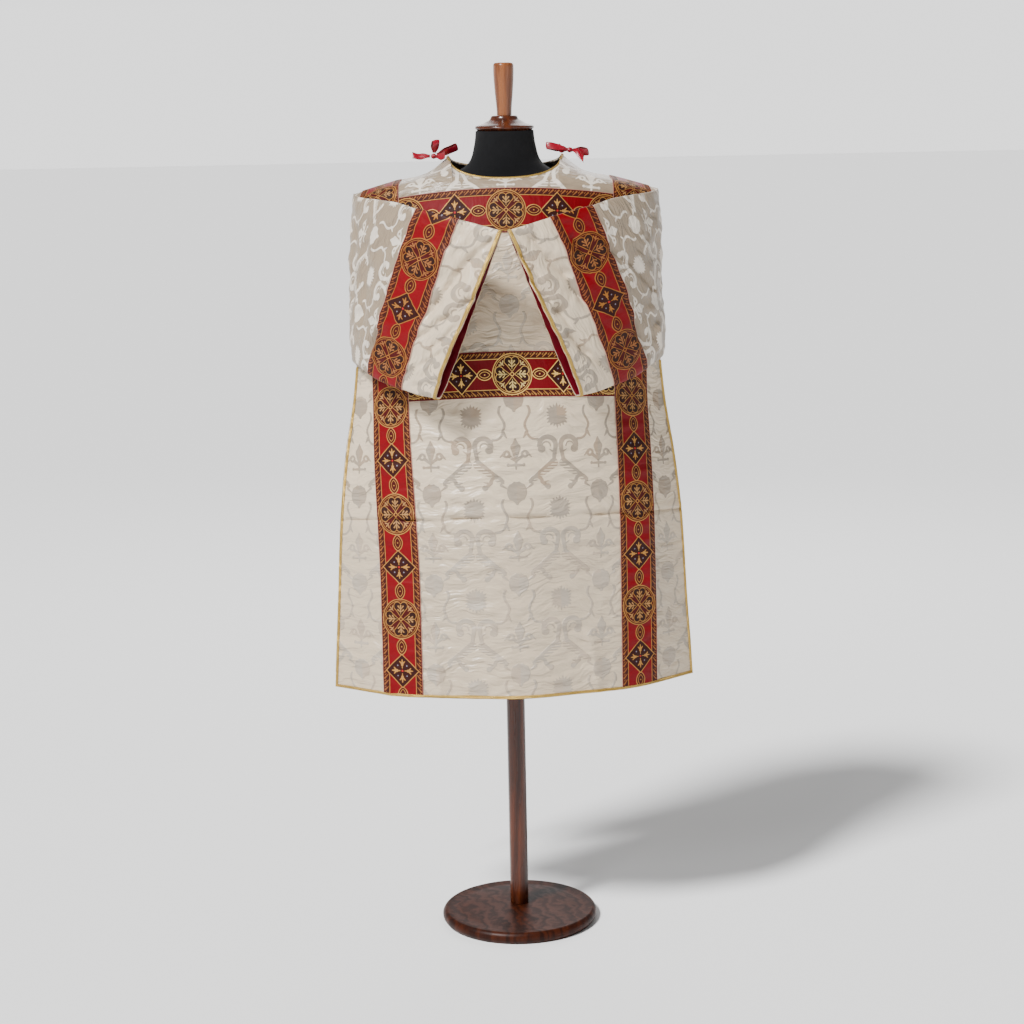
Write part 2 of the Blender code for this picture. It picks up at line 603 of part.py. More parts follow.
def mitre_seam(side, ring_way, front, back, last):
    """Where sleeve and panel meet at a corner, both walls end along the same direction."""
    edge = -1 if side > 0 else 0
    shared = unit(back.way[0, edge] + front.way[0, edge] + ring_way[0])
    back.way[0, edge] = front.way[0, edge] = ring_way[0] = shared
    for panel, first, step in ((back, 1, 1), (front, 2 * last + 1, -1)):
        for row in range(1, last + 1):
            index = first + step * (row - 1)
            if panel.way[row, edge] @ ring_way[index] > MITRE_FROM:
                shared = unit(panel.way[row, edge] + ring_way[index])
                panel.way[row, edge] = shared
                ring_way[index] = shared


# ---------------------------------------------------------------- ribbon bows
RIBBON_WIDTH = 0.013
RIBBON_WALL = 0.0010
RIBBON_PINCH = 0.45          # share of the ribbon's width where it leaves the knot
RIBBON_TURN = math.radians(65)   # how far a loop's broad side is turned to the front
KNOT_HALF = (0.0055, 0.0065, 0.0050)
LOOP_CLEAR = 0.0012          # from the knot to a loop
LOOP_ROUND = 0.6             # how full a loop is near the knot
Loop = namedtuple("Loop", "length lift height")     # how far it reaches, rises and opens
Tail = namedtuple("Tail", "across forward up")       # from its start at the knot to its end
BOWS = (
    ("right", (-0.131, 0.004, 1.4750),
     (Loop(0.003, 0.022, 0.006), Loop(0.037, 0.014, 0.005)),
     (Tail(-0.033, 0.000, 0.001), Tail(0.017, 0.020, 0.002))),
    ("left", (0.119, 0.004, 1.4820),
     (Loop(-0.036, 0.007, 0.004), Loop(0.027, -0.003, 0.005)),
     (Tail(0.020, 0.022, -0.018), Tail(-0.017, -0.020, 0.004))),
)


def ribbon_strip(points, broad, closed):
    """A ribbon along a line: a thin rectangle, pinched at the knot, its broad side as given."""
    ahead = np.roll(points, -1, axis=0) - np.roll(points, 1, axis=0)
    if not closed:
        ahead[0], ahead[-1] = points[1] - points[0], points[-1] - points[-2]
    thin = unit(np.cross(ahead, broad))
    far = np.linalg.norm(points - points[0], axis=1)
    half = RIBBON_WIDTH / 2 * (RIBBON_PINCH + (1 - RIBBON_PINCH) * smooth_step(2 * far / far.max()))[:, None]
    corners = [points + a * half * broad + b * RIBBON_WALL / 2 * thin
               for a, b in ((-1, -1), (1, -1), (1, 1), (-1, 1))]
    mesh = bmesh.new()
    rings = [[mesh.verts.new(corner[i]) for corner in corners] for i in range(len(points))]
    pairs = list(zip(rings, rings[1:] + rings[:1] if closed else rings[1:]))
    for a, b in pairs:
        for i in range(4):
            mesh.faces.new((a[i], a[(i + 1) % 4], b[(i + 1) % 4], b[i]))
    if not closed:
        mesh.faces.new(rings[0])
        mesh.faces.new(rings[-1])
    bmesh.ops.recalc_face_normals(mesh, faces=mesh.faces)
    return mesh


def add_bow(word, knot, loops, tails):
    """A knot, and the loops and tails of ribbon that stop just short of it."""
    knot = np.array(knot)
    ball = bmesh.new()
    bmesh.ops.create_uvsphere(ball, u_segments=12, v_segments=8, radius=1.0)
    ball.transform(Matrix.Translation(knot) @ Matrix.Diagonal((*KNOT_HALF, 1.0)))
    back_to_front = np.array([0.0, 1.0, 0.0])
    pieces = [("knot", ball)]
    for index, loop in enumerate(loops):
        turn = np.linspace(0, 2 * np.pi, 13)[:-1, None]
        out = (1 - np.cos(turn)) / 2
        fat = np.sin(turn) * out**LOOP_ROUND * loop.height
        way = np.array([loop.length, 0.0, loop.lift])
        reach = np.linalg.norm(way)
        across = np.array([-loop.lift, 0.0, loop.length]) / reach
        opened = across * math.cos(RIBBON_TURN) + back_to_front * math.sin(RIBBON_TURN)
        broad = back_to_front * math.cos(RIBBON_TURN) - across * math.sin(RIBBON_TURN)
        points = knot + (KNOT_HALF[0] + LOOP_CLEAR) * way / reach + out * way + fat * opened
        pieces.append((f"loop_{index + 1}", ribbon_strip(points, broad, True)))
    for index, tail in enumerate(tails):
        t = np.linspace(0, 1, 6)[:, None]
        way = np.array([tail.across, -tail.forward, 0.0])
        points = knot + (KNOT_HALF[0] + LOOP_CLEAR) * unit(way) + t * way + t**2 * np.array([0.0, 0.0, tail.up])
        broad = unit(np.cross(way, np.cross(way, back_to_front + np.array([0.0, 0.0, 2.0]))))
        pieces.append((f"tail_{index + 1}", ribbon_strip(points, broad, False)))
    for part, mesh in pieces:
        name = f"bow_{word}_{part}"
        data = bpy.data.meshes.new(name)
        mesh.to_mesh(data)
        mesh.free()
        add_object(name, data, CRIMSON, 0.4)


# ---------------------------------------------------------------- dress form
def add_torso():
    """A padded torso and neck: superelliptical rings from the hip to under the cap."""
    mesh = bmesh.new()
    turn = np.linspace(0, 2 * np.pi, TORSO_SIDES, endpoint=False)
    rings = []
    for ring in TORSO:
        x = ring.half_width * np.sign(np.cos(turn)) * np.abs(np.cos(turn))**TORSO_ROUND
        y = ring.centre_y + ring.half_depth * np.sign(np.sin(turn)) * np.abs(np.sin(turn))**TORSO_ROUND
        rings.append([mesh.verts.new((a, b, ring.height)) for a, b in zip(x, y)])
    for lower, upper in zip(rings, rings[1:]):
        for i in range(TORSO_SIDES):
            j = (i + 1) % TORSO_SIDES
            mesh.faces.new((lower[i], lower[j], upper[j], upper[i]))
    mesh.faces.new(list(reversed(rings[0])))
    mesh.faces.new(rings[-1])
    data = bpy.data.meshes.new("form_torso")
    mesh.to_mesh(data)
    mesh.free()
    add_object("form_torso", data, JERSEY, 0.8)


def add_turned(name, profile, colour, roughness, steps=TURNED_STEPS):
    """A turned piece: its profile runs from the axis at the top, down outside, to the axis."""
    mesh = bpy.data.meshes.new(name)
    edges = [(i, i + 1) for i in range(len(profile) - 1)]
    mesh.from_pydata([(r, 0.0, z) for r, z in profile], edges, [])
    thing = add_object(name, mesh, colour, roughness)
    screw = thing.modifiers.new("turned", "SCREW")
    screw.axis = "Z"
    screw.steps = screw.render_steps = steps
    screw.use_merge_vertices = True
    screw.merge_threshold = 0.0001
    screw.use_smooth_shade = True
    return thing


def arc_points(centre, radius, start, end, count):
    """Points of a round corner, angles in degrees from the outward direction."""
    angles = np.radians(np.linspace(start, end, count))
    return [(centre[0] + radius * math.cos(a), centre[1] + radius * math.sin(a)) for a in angles]


def add_form():
    add_torso()
    cap = ([(0.0, 1.5465), (0.0135, 1.5465)] + arc_points((0.0205, 1.5425), 0.004, 90, 20, 4)
           + [(0.030, 1.5375), (0.040, 1.5325), (0.050, 1.5285)]
           + arc_points((0.0505, 1.5250), 0.0035, 60, -60, 5) + [(0.050, 1.5195), (0.0, 1.5195)])
    add_turned("form_cap", cap, WALNUT, 0.3)
    top = HANDLE_TOP
    handle = ([(0.0, top), (0.012, top)] + arc_points((0.0130, top - 0.006), 0.006, 80, 0, 4)
              + [(0.0187, top - 0.020), (0.0172, top - 0.045), (0.0150, top - 0.070),
                 (0.0136, top - 0.088), (0.0136, 1.5468), (0.0, 1.5468)])
    add_turned("form_handle", handle, BEECH, 0.35)
    base = ([(0.0, 0.0310), (0.030, 0.0308), (0.065, 0.0290), (0.100, 0.0255), (0.128, 0.0215)]
            + arc_points((0.1380, 0.0120), 0.0120, 70, -40, 7) + [(0.1440, 0.0), (0.0, 0.0)])
    add_turned("form_base", base, WALNUT, 0.25, steps=36)
    mesh = bmesh.new()
    bottom, foot = 0.0313, TORSO[0].height - SEAM_GAP
    bmesh.ops.create_cone(mesh, cap_ends=True, segments=20, radius1=POST_RADIUS,
                          radius2=POST_RADIUS, depth=foot - bottom)
    mesh.transform(Matrix.Translation((0.0, 0.0, (foot + bottom) / 2)))
    data = bpy.data.meshes.new("form_post")
    mesh.to_mesh(data)
    mesh.free()
    add_object("form_post", data, WALNUT, 0.35)


# ---------------------------------------------------------------- the whole object
for old in list(bpy.data.objects):
    bpy.data.objects.remove(old, do_unlink=True)
bpy.context.scene.collection.children.link(bpy.data.collections.new(COLLECTION))

front_panel, back_panel = Panel(FRONT), Panel(BACK)
for sleeve_side, sleeve_word in ((-1, "right"), (1, "left")):
    add_sleeve(sleeve_side, sleeve_word, front_panel, back_panel)
front_panel.wall("front_panel")
back_panel.wall("back_panel")
add_panel_trims(front_panel, "front")
add_panel_trims(back_panel, "back")
for bow in BOWS:
    add_bow(*bow)
add_form()
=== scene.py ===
import math

import bpy
import numpy as np
from mathutils import Matrix, Vector


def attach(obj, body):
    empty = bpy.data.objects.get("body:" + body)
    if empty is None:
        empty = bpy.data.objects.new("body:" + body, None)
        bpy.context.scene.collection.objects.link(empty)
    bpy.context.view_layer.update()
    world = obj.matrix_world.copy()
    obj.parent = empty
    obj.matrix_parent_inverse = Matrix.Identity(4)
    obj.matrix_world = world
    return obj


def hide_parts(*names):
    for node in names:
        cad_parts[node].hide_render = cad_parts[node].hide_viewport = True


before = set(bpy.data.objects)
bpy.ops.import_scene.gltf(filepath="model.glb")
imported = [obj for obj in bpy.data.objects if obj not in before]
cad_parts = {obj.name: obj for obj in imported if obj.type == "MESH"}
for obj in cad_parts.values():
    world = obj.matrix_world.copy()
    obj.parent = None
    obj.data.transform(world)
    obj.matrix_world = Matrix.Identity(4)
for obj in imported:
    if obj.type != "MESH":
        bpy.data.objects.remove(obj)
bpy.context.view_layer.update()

# ------------------------------------------------------------------ studio
# A plain pale floor, a white room, a soft key light from the left and three lamps.  The camera
# stands a little above the form's shoulders and is turned a touch about its own axis.
CAMERA_PLACE, CAMERA_LENS, CAMERA_SENSOR = (0.0, -4.2, 1.62), 79.52, 36.0
CAMERA_TILT, CAMERA_ROLL = math.radians(79.05), math.radians(-1.12)
FLOOR_HALF = 40.0
FLOOR_PAINT = {"Base Color": (0.85, 0.85, 0.85, 1.0), "Roughness": 1.0, "Specular IOR Level": 0.0}
ROOM_WHITE = (1.0, 1.0, 1.0, 1.0)
ROOM_STRENGTHS = (("Z", (0.03, 0.20, 1.75, 0.34)), ("Y", (-0.20, 0.60, 0.45, 1.0)))  # axis, from, to
LAMPS = (  # name, kind, place, aim, size or angle, watts or strength
    ("key", "SUN", (-2.0, -2.3, 4.5), (0.0, 0.0, 1.1), math.radians(10), 6.4),
    ("glint", "AREA", (-1.6, -3.0, 2.9), (0.0, 0.0, 1.1), 0.8, 36),
    ("fill", "AREA", (2.8, -2.6, 1.7), (0.0, 0.0, 1.0), 2.0, 12),
    ("rear", "AREA", (0.4, 3.4, 3.0), (0.0, 0.0, 1.1), 2.4, 60),
)


def put_in_scene(name, data):
    """A new object of this data, in the scene."""
    thing = bpy.data.objects.new(name, data)
    bpy.context.scene.collection.objects.link(thing)
    return thing


camera_data = bpy.data.cameras.new("camera")
camera_data.sensor_width = CAMERA_SENSOR
camera_data.lens = CAMERA_LENS
camera = put_in_scene("camera", camera_data)
camera.matrix_world = (Matrix.Translation(CAMERA_PLACE) @ Matrix.Rotation(CAMERA_TILT, 4, "X")
                       @ Matrix.Rotation(CAMERA_ROLL, 4, "Z"))
bpy.context.scene.camera = camera

floor_mesh = bpy.data.meshes.new("floor")
floor_corners = ((-FLOOR_HALF, -FLOOR_HALF, 0), (FLOOR_HALF, -FLOOR_HALF, 0), (FLOOR_HALF, FLOOR_HALF, 0),
                 (-FLOOR_HALF, FLOOR_HALF, 0))
floor_mesh.from_pydata(floor_corners, [], [(0, 1, 2, 3)])
floor_paint = bpy.data.materials.new("floor_paint")
floor_paint.use_nodes = True
for socket_name, value in FLOOR_PAINT.items():
    floor_paint.node_tree.nodes["Principled BSDF"].inputs[socket_name].default_value = value
floor_mesh.materials.append(floor_paint)
put_in_scene("floor", floor_mesh)

# The room is bright along the horizon, where it meets the floor, and dimmer overhead and in front.
room = bpy.data.worlds.new("room")
room.use_nodes = True
room_nodes, room_links = room.node_tree.nodes, room.node_tree.links
room_nodes["Background"].inputs["Color"].default_value = ROOM_WHITE
direction = room_nodes.new("ShaderNodeSeparateXYZ")
room_links.new(room_nodes.new("ShaderNodeTexCoord").outputs["Generated"], direction.inputs[0])
strength = room_nodes.new("ShaderNodeMath")
strength.operation = "MULTIPLY"
for index, (axis, limits) in enumerate(ROOM_STRENGTHS):
    share = room_nodes.new("ShaderNodeMapRange")
    for entry, value in zip(("From Min", "From Max", "To Min", "To Max"), limits):
        share.inputs[entry].default_value = value
    room_links.new(direction.outputs[axis], share.inputs["Value"])
    room_links.new(share.outputs[0], strength.inputs[index])
room_links.new(strength.outputs[0], room_nodes["Background"].inputs["Strength"])
bpy.context.scene.world = room

for lamp_name, lamp_kind, lamp_place, lamp_aim, lamp_size, lamp_power in LAMPS:
    lamp_data = bpy.data.lights.new(lamp_name, lamp_kind)
    setattr(lamp_data, "angle" if lamp_kind == "SUN" else "size", lamp_size)
    lamp_data.energy = lamp_power
    towards = Vector(lamp_place) - Vector(lamp_aim)
    put_in_scene(lamp_name, lamp_data).matrix_world = (
        Matrix.Translation(lamp_place) @ towards.to_track_quat("Z", "Y").to_matrix().to_4x4())


# ------------------------------------------------------------------ the dress form's wood
# The base, post and cap are turned beech stained a dark red-brown and lacquered.  The handle is
# turned from the same wood with a lighter stain.  Each is one turning on the stand's axis.
class Field:
    """A value that changes over a surface; arithmetic on it adds nodes to its tree."""

    def __init__(self, tree, socket):
        self.tree = tree
        self.socket = socket

    def joined(self, kind, operation, values):
        """A node of this kind with this field and the other values in its inputs, in order."""
        made = self.tree.nodes.new(kind)
        made.operation = operation
        for entry, value in zip(made.inputs, (self, *values)):
            plug(entry, value)
        return made

    def math(self, operation, *values, clamp=False):
        made = self.joined("ShaderNodeMath", operation, values)
        made.use_clamp = clamp
        return Field(self.tree, made.outputs[0])

    def vector(self, operation, *values):
        made = self.joined("ShaderNodeVectorMath", operation, values)
        number = operation in ("DOT_PRODUCT", "LENGTH", "DISTANCE")
        return Field(self.tree, made.outputs["Value" if number else "Vector"])

    def __add__(self, other):
        return self.math("ADD", other)

    def __sub__(self, other):
        return self.math("SUBTRACT", other)

    def __mul__(self, other):
        return self.math("MULTIPLY", other)

    def __neg__(self):
        return self * -1.0

    def __abs__(self):
        return self.math("ABSOLUTE")

    def sine(self):
        return self.math("SINE")

    def clamped(self):
        """The field held between 0 and 1."""
        return self.math("ADD", 0.0, clamp=True)

    def less(self, other):
        """The smaller of two fields: the union of two distances."""
        return self.math("MINIMUM", other)

    def more(self, other):
        """The larger of two fields: the overlap of two distances."""
        return self.math("MAXIMUM", other)

    def painted(self, softness):
        """1 where the distance is below zero, 0 above it, over a soft edge."""
        return (self * (-1.0 / softness)).math("ADD", 0.5, clamp=True)

    def split(self):
        """The three parts of a vector field."""
        made = self.tree.nodes.new("ShaderNodeSeparateXYZ")
        plug(made.inputs[0], self)
        return [Field(self.tree, made.outputs[i]) for i in range(3)]


def plug(entry, value):
    """Links a field to a socket, or sets a constant on it."""
    if isinstance(value, Field):
        value.tree.links.new(value.socket, entry)
    else:
        entry.default_value = value


def place_of(x, y, z=0.0):
    """A vector field out of two or three fields."""
    made = x.tree.nodes.new("ShaderNodeCombineXYZ")
    for entry, value in zip(made.inputs, (x, y, z)):
        plug(entry, value)
    return Field(x.tree, made.outputs[0])


def blended(share, first, second):
    """The first colour where share is 0, the second where it is 1."""
    made = share.tree.nodes.new("ShaderNodeMix")
    made.data_type = "RGBA"
    plug(made.inputs["Factor"], share)
    for entry, value in ((made.inputs[6], first), (made.inputs[7], second)):
        plug(entry, value if isinstance(value, Field) else (*value, 1.0))
    return Field(share.tree, made.outputs[2])


def clouds(at, scale, detail=2.0, roughness=0.5):
    """Noise from 0 to 1 at a vector field, its grains 1 / scale long."""
    made = at.tree.nodes.new("ShaderNodeTexNoise")
    for name, value in (("Vector", at), ("Scale", scale), ("Detail", detail), ("Roughness", roughness)):
        plug(made.inputs[name], value)
    return Field(at.tree, made.outputs["Fac"])


SOCKET_KINDS = {"At": "Vector", "Cut": "Vector", "Colour": "Color"}


def new_group(name, inputs, outputs):
    """A shader node group, its input fields and its output node; most sockets are numbers."""
    group = bpy.data.node_groups.new(name, "ShaderNodeTree")
    for way, words in (("INPUT", inputs), ("OUTPUT", outputs)):
        for word in words.split():
            kind = "NodeSocket" + SOCKET_KINDS.get(word, "Float")
            group.interface.new_socket(word, in_out=way, socket_type=kind)
    entry = group.nodes.new("NodeGroupInput")
    return group, [Field(group, socket) for socket in entry.outputs[:-1]], group.nodes.new("NodeGroupOutput")


def put_out(node, *fields):
    """Fills a node's inputs in order."""
    for entry, value in zip(node.inputs, fields):
        plug(entry, value)


def use_group(tree, group, *values):
    """The group's output fields in this tree, by name."""
    made = tree.nodes.new("ShaderNodeGroup")
    made.node_tree = group
    put_out(made, *values)
    return {out.name: Field(tree, out) for out in made.outputs}


def new_material(name, roughness, metallic=0.0, **constants):
    """A Principled material; returns it, its tree and its shader."""
    material = bpy.data.materials.new(name)
    material.use_nodes = True
    shader = material.node_tree.nodes["Principled BSDF"]
    for socket_name, value in {"Roughness": roughness, "Metallic": metallic, **constants}.items():
        shader.inputs[socket_name.replace("_", " ")].default_value = value
    return material, material.node_tree, shader


def feed(shader, colour, roughness=None, metallic=None, height=None):
    """Links fields to the shader; height is in metres and goes through a Bump node."""
    for socket_name, value in (("Base Color", colour), ("Roughness", roughness), ("Metallic", metallic)):
        if value is not None:
            plug(shader.inputs[socket_name], value)
    bump = shader.id_data.nodes.new("ShaderNodeBump")
    bump.inputs["Distance"].default_value = 1.0
    plug(bump.inputs["Height"], height)
    shader.id_data.links.new(bump.outputs[0], shader.inputs["Normal"])


def object_place(tree):
    """The place on a piece in metres, from the stand's foot."""
    return Field(tree, tree.nodes.new("ShaderNodeTexCoord").outputs["Object"])


def make_wood_grain():
    """Long streaks along Z and faint rings round it: 0 in a dark line, 1 between the lines."""
    group, (at,), out = new_group("wood_grain", "At", "Streak Pore")
    wander = clouds(at.vector("MULTIPLY", (1.0, 1.0, 0.10)), 22.0, 4.0, 0.6)
    x, y, z = at.split()
    rings = ((x * 210.0 + y * 60.0 + wander * 26.0).sine() * 0.5 + 0.5) * 0.35
    pores = clouds(at.vector("MULTIPLY", (1.0, 1.0, 0.045)), 900.0, 2.0)
    put_out(out, wander * 0.65 + rings, pores)
    return group


wood_grain = make_wood_grain()


def wood(name, dark, light, roughness, coat=0.18, specular=0.3):
    """Stained wood: dark in its streaks and pores, light between them, under a thin lacquer."""
    material, tree, shader = new_material(name, roughness, Coat_Weight=coat, Coat_Roughness=0.15,
                                          Specular_IOR_Level=specular)
    grain = use_group(tree, wood_grain, object_place(tree))
    streak = (grain["Streak"] * 1.9 - 0.45).clamped()
    pored = (grain["Pore"] * -2.4 + 1.45).clamped()
    colour = blended(streak * 0.75 + pored * 0.25, dark, light)
    feed(shader, colour, streak * -0.08 + (roughness + 0.05), height=grain["Pore"] * 0.00004)
    return material


def new_piece(name, points, faces, sharp):
    """A mesh in the scene, smooth but for the edges sharper than an angle in degrees."""
    mesh = bpy.data.meshes.new(name)
    mesh.from_pydata(points, [], faces)
    mesh.shade_smooth()
    mesh.set_sharp_from_angle(angle=math.radians(sharp))
    return put_in_scene(name, mesh)


def between_rings(rings, sides):
    """Quads between neighbouring rings of a grid that wraps round."""
    row, column = np.meshgrid(np.arange(rings - 1), np.arange(sides), indexing="ij")
    after = (column + 1) % sides
    return np.stack([row * sides + column, (row + 1) * sides + column,
                     (row + 1) * sides + after, row * sides + after], axis=-1).reshape(-1, 4)


def placed(*coordinates):
    """A grid of places out of its coordinates."""
    return np.stack(np.broadcast_arrays(*coordinates), axis=-1)


def turned(name, profile, sides):
    """A turning: the profile (radius, height) carried round Z, closed on the axis at both ends."""
    profile = np.array(profile)
    turn = np.linspace(0, 2 * np.pi, sides, endpoint=False)
    middle = profile[1:-1]
    rings = placed(middle[:, :1] * np.cos(turn), middle[:, :1] * np.sin(turn), middle[:, 1:]).reshape(-1, 3)
    ends = [(0, 0, profile[0, 1]), (0, 0, profile[-1, 1])]
    top = len(middle) * sides
    caps = [(top, i, (i + 1) % sides) for i in range(sides)]
    caps += [(top + 1, top - sides + (i + 1) % sides, top - sides + i) for i in range(sides)]
    return new_piece(name, rings.tolist() + ends, between_rings(len(middle), sides).tolist() + caps, 50)


def quarter(centre, radius, start, end, count):
    """Points of a round corner, angles in degrees from the outward direction."""
    angles = np.radians(np.linspace(start, end, count))
    return [(centre[0] + radius * math.cos(a), centre[1] + radius * math.sin(a)) for a in angles]


def dress(thing, material, node):
    """Gives a piece its material, lets it ride on the part and stand for its CAD node."""
    thing.data.materials.append(material)
    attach(thing, "root")
    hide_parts(node)
    return thing


walnut = wood("walnut_lacquer", (0.016, 0.0035, 0.0018), (0.095, 0.022, 0.007), 0.26)
walnut_base = wood("walnut_base", (0.008, 0.0018, 0.0010), (0.050, 0.011, 0.0035), 0.42, 0.0, 0.12)
beech = wood("beech_lacquer", (0.085, 0.023, 0.008), (0.27, 0.092, 0.030), 0.30)

# Profiles in millimetres: radius, height.
POST_RADIUS, POST_CHAMFER = 17.5, 16.5
BASE_PROFILE = ([(0, 31), (10, 31), (30, 30.8), (48, 30), (65, 29), (83, 27.4), (100, 25.5), (115, 23.6),
                 (128, 21.5)] + quarter((138, 12), 12, 70, -40, 14) + [(144, 0), (0, 0)])
POST_PROFILE = ([(0, 799.6), (POST_CHAMFER, 799.6), (POST_RADIUS, 798.6)]
                + [(POST_RADIUS, z) for z in np.linspace(760, 60, 15)]
                + [(POST_RADIUS, 32.3), (POST_CHAMFER, 31.3), (0, 31.3)])
CAP_PROFILE = ([(0, 1546.5), (13.5, 1546.5)] + quarter((20.5, 1542.5), 4, 90, 20, 8)
               + [(26.2, 1539.8), (30, 1537.7), (35, 1535.2), (40, 1532.7), (45, 1530.7), (50.5, 1528.9)]
               + quarter((50.5, 1525), 3.5, 75, -75, 9) + [(50, 1519.5), (0, 1519.5)])
HANDLE_PROFILE = ([(0, 1642), (8, 1642), (12, 1641.6)] + quarter((13, 1636), 5.6, 80, 0, 8)
                  + [(18.7, 1630), (18.6, 1622), (18.1, 1611), (17.2, 1597), (16.1, 1584), (15, 1572),
                     (14.1, 1562), (13.6, 1554), (13.6, 1546.8), (0, 1546.8)])
for name, profile, sides, material, slot, node in (
        ("stand_base", BASE_PROFILE, 96, walnut_base, "walnut", "form_base"),
        ("stand_post", POST_PROFILE, 48, walnut, "walnut", "form_post"),
        ("form_neck_cap", CAP_PROFILE, 72, walnut, "walnut", "form_cap"),
        ("form_handle_turning", HANDLE_PROFILE, 64, beech, "beech", "form_handle")):
    dress(turned(name, np.array(profile) / 1000, sides), material, node)

# ------------------------------------------------------------------ the form's body
# A padded bust without limbs, hard shell under a black knitted jersey cover.  Its rings are
# superellipses lofted from the hip to the neck, where the cap closes it.
TORSO = np.array([  # in millimetres: height, half width, half depth, centre y
    (800, 145, 95, -2), (812, 160, 108, -2), (900, 168, 114, -4), (1000, 156, 106, -4), (1100, 138, 98, -4),
    (1190, 150, 106, -6), (1280, 168, 114, -8), (1350, 184, 104, -4), (1385, 193, 88, 0), (1405, 190, 76, 2),
    (1418, 174, 68, 4), (1429, 148, 62, 4), (1438, 116, 59, 3), (1448, 86, 57, 2), (1465, 65, 55, 0),
    (1495, 56, 54, 0), (1519.2, 53, 53, 0)]) / 1000
TORSO_ROUND = 0.92
TORSO_FINER = 6


def hermite(t, start, start_run, end, end_run):
    """Cubic from start to end that leaves and arrives along the two runs."""
    return ((2 * t**3 - 3 * t**2 + 1) * start + (t**3 - 2 * t**2 + t) * start_run
            + (3 * t**2 - 2 * t**3) * end + (t**3 - t**2) * end_run)


def through(knots, values, at):
    """Smooth curve through the knots: Hermite pieces with central-difference slopes."""
    knots, values = np.asarray(knots, float), np.asarray(values, float)
    slopes = np.gradient(values, knots)
    at = np.clip(np.asarray(at, float), knots[0], knots[-1])
    piece = np.clip(np.searchsorted(knots, at, side="right") - 1, 0, len(knots) - 2)
    span = knots[piece + 1] - knots[piece]
    return hermite((at - knots[piece]) / span, values[piece], span * slopes[piece],
                   values[piece + 1], span * slopes[piece + 1])


def loft_torso(sides):
    """Rings x = w cos|t|^n, y = c + d sin|t|^n, with finer rings between each listed pair."""
    place = np.arange(len(TORSO))
    fine = np.linspace(0, len(TORSO) - 1, TORSO_FINER * (len(TORSO) - 1) + 1)
    height, width, depth, centre = (through(place, TORSO[:, k], fine)[:, None] for k in range(4))
    turn = np.linspace(0, 2 * np.pi, sides, endpoint=False)[None]
    over, ahead = (np.sign(line) * np.abs(line)**TORSO_ROUND for line in (np.cos(turn), np.sin(turn)))
    points = placed(width * over, centre + depth * ahead, height)
    quads = between_rings(len(fine), sides)[:, [0, 3, 2, 1]].tolist()
    count = len(fine) * sides
    caps = [list(range(sides))[::-1], list(range(count - sides, count))]
    return new_piece("form_jersey", points.reshape(-1, 3).tolist(), quads + caps, 60)


def jersey():
    """Black cotton jersey: fine rows of knit loops, dull, with a little lint."""
    material, tree, shader = new_material("black_jersey", 0.9, Sheen_Weight=0.05, Sheen_Roughness=0.5,
                                          Specular_IOR_Level=0.15)
    at = object_place(tree)
    x, y, z = at.split()
    loops = ((x - y) * 2600.0).sine() * (z * 3300.0).sine()
    lint = clouds(at, 60.0, 4.0, 0.7)
    feed(shader, blended(lint, (0.0025, 0.0025, 0.003), (0.007, 0.007, 0.008)), height=loops * 0.00006)
    return material


dress(loft_torso(96), jersey(), "form_torso")

# ------------------------------------------------------------------ front and back of silk damask
# The two main pieces of the dalmatic: silk damask on an interlining, one flat cut each with half
# of the neck opening in it.  They hang from the shoulder line and are open down the sides.
# Every point has its place in the flat cut, (across, down) in metres, for the woven figure.
CLOTH_WALL = 0.0016
SEAM_GAP = 0.0003
BAND_WIDTH = 0.082
BAND_INNER = 0.197
BAND_OUTER = BAND_INNER + BAND_WIDTH
BRAID_WIDTH = 0.006
EDGE_CUT = 0.300
EDGE_BRAID = EDGE_CUT - BRAID_WIDTH
NECK_HALF_CUT, NECK_ROUND = 0.095, 2.3
NECK_TIP = (0.103, 1.475)
SHOULDER_EASE = 0.97
SLIT_LENGTH, SLIT_OPEN = 0.075, 0.005
CHEST_DOWN = 0.100
SECTION_ROUND = 2.2
TWIST, TWIST_HEIGHTS, SKIRT_SHIFT = math.radians(4.0), (1.40, 0.85), -0.004
CLAVUS_LEAN, LEAN_DOWNS = 0.015, (0.45, 0.85)
FLUTE_DEPTH, FLUTE_PITCH, FLUTE_DOWNS = 0.004, 0.230, (0.47, 0.97)
YOKE_ROWS = 22
CELL = 0.005
SHOULDER = np.array([  # across, forward as -y, height
    (0.103, 0.0, 1.4750), (0.140, 0.0, 1.4470), (0.200, -0.010, 1.4320), (0.275, -0.045, 1.4115)])
# Levels in millimetres: height and depth of the centre, half width, depth and drop of the edge.
FRONT_LEVELS = np.array([
    (1422, -129, 272, -62, 32), (1343.6, -153, 271, -66, 30), (1242, -171, 271, -62, 30),
    (1135, -181, 280, -52, 29), (1053.2, -186, 289, -48, 27), (945, -191, 306, -53, 23),
    (835, -199, 318, -62, 20), (660, -198, 329, -60, 12), (499, -202, 339, -55, 5)]) / 1000
BACK_LEVELS = np.array([
    (1415, 106, 272, -12, 24), (1336, 127, 271, 20, 22), (1239, 136, 271, 34, 26), (1135, 138, 280, 30, 29),
    (1053.2, 142, 289, 34, 27), (945, 152, 306, 44, 23), (835, 162, 318, 52, 20), (660, 168, 329, 56, 12),
    (499, 174, 339, 58, 5)]) / 1000
WAIST_LEVEL, CREASE_LEVEL = 3, 6
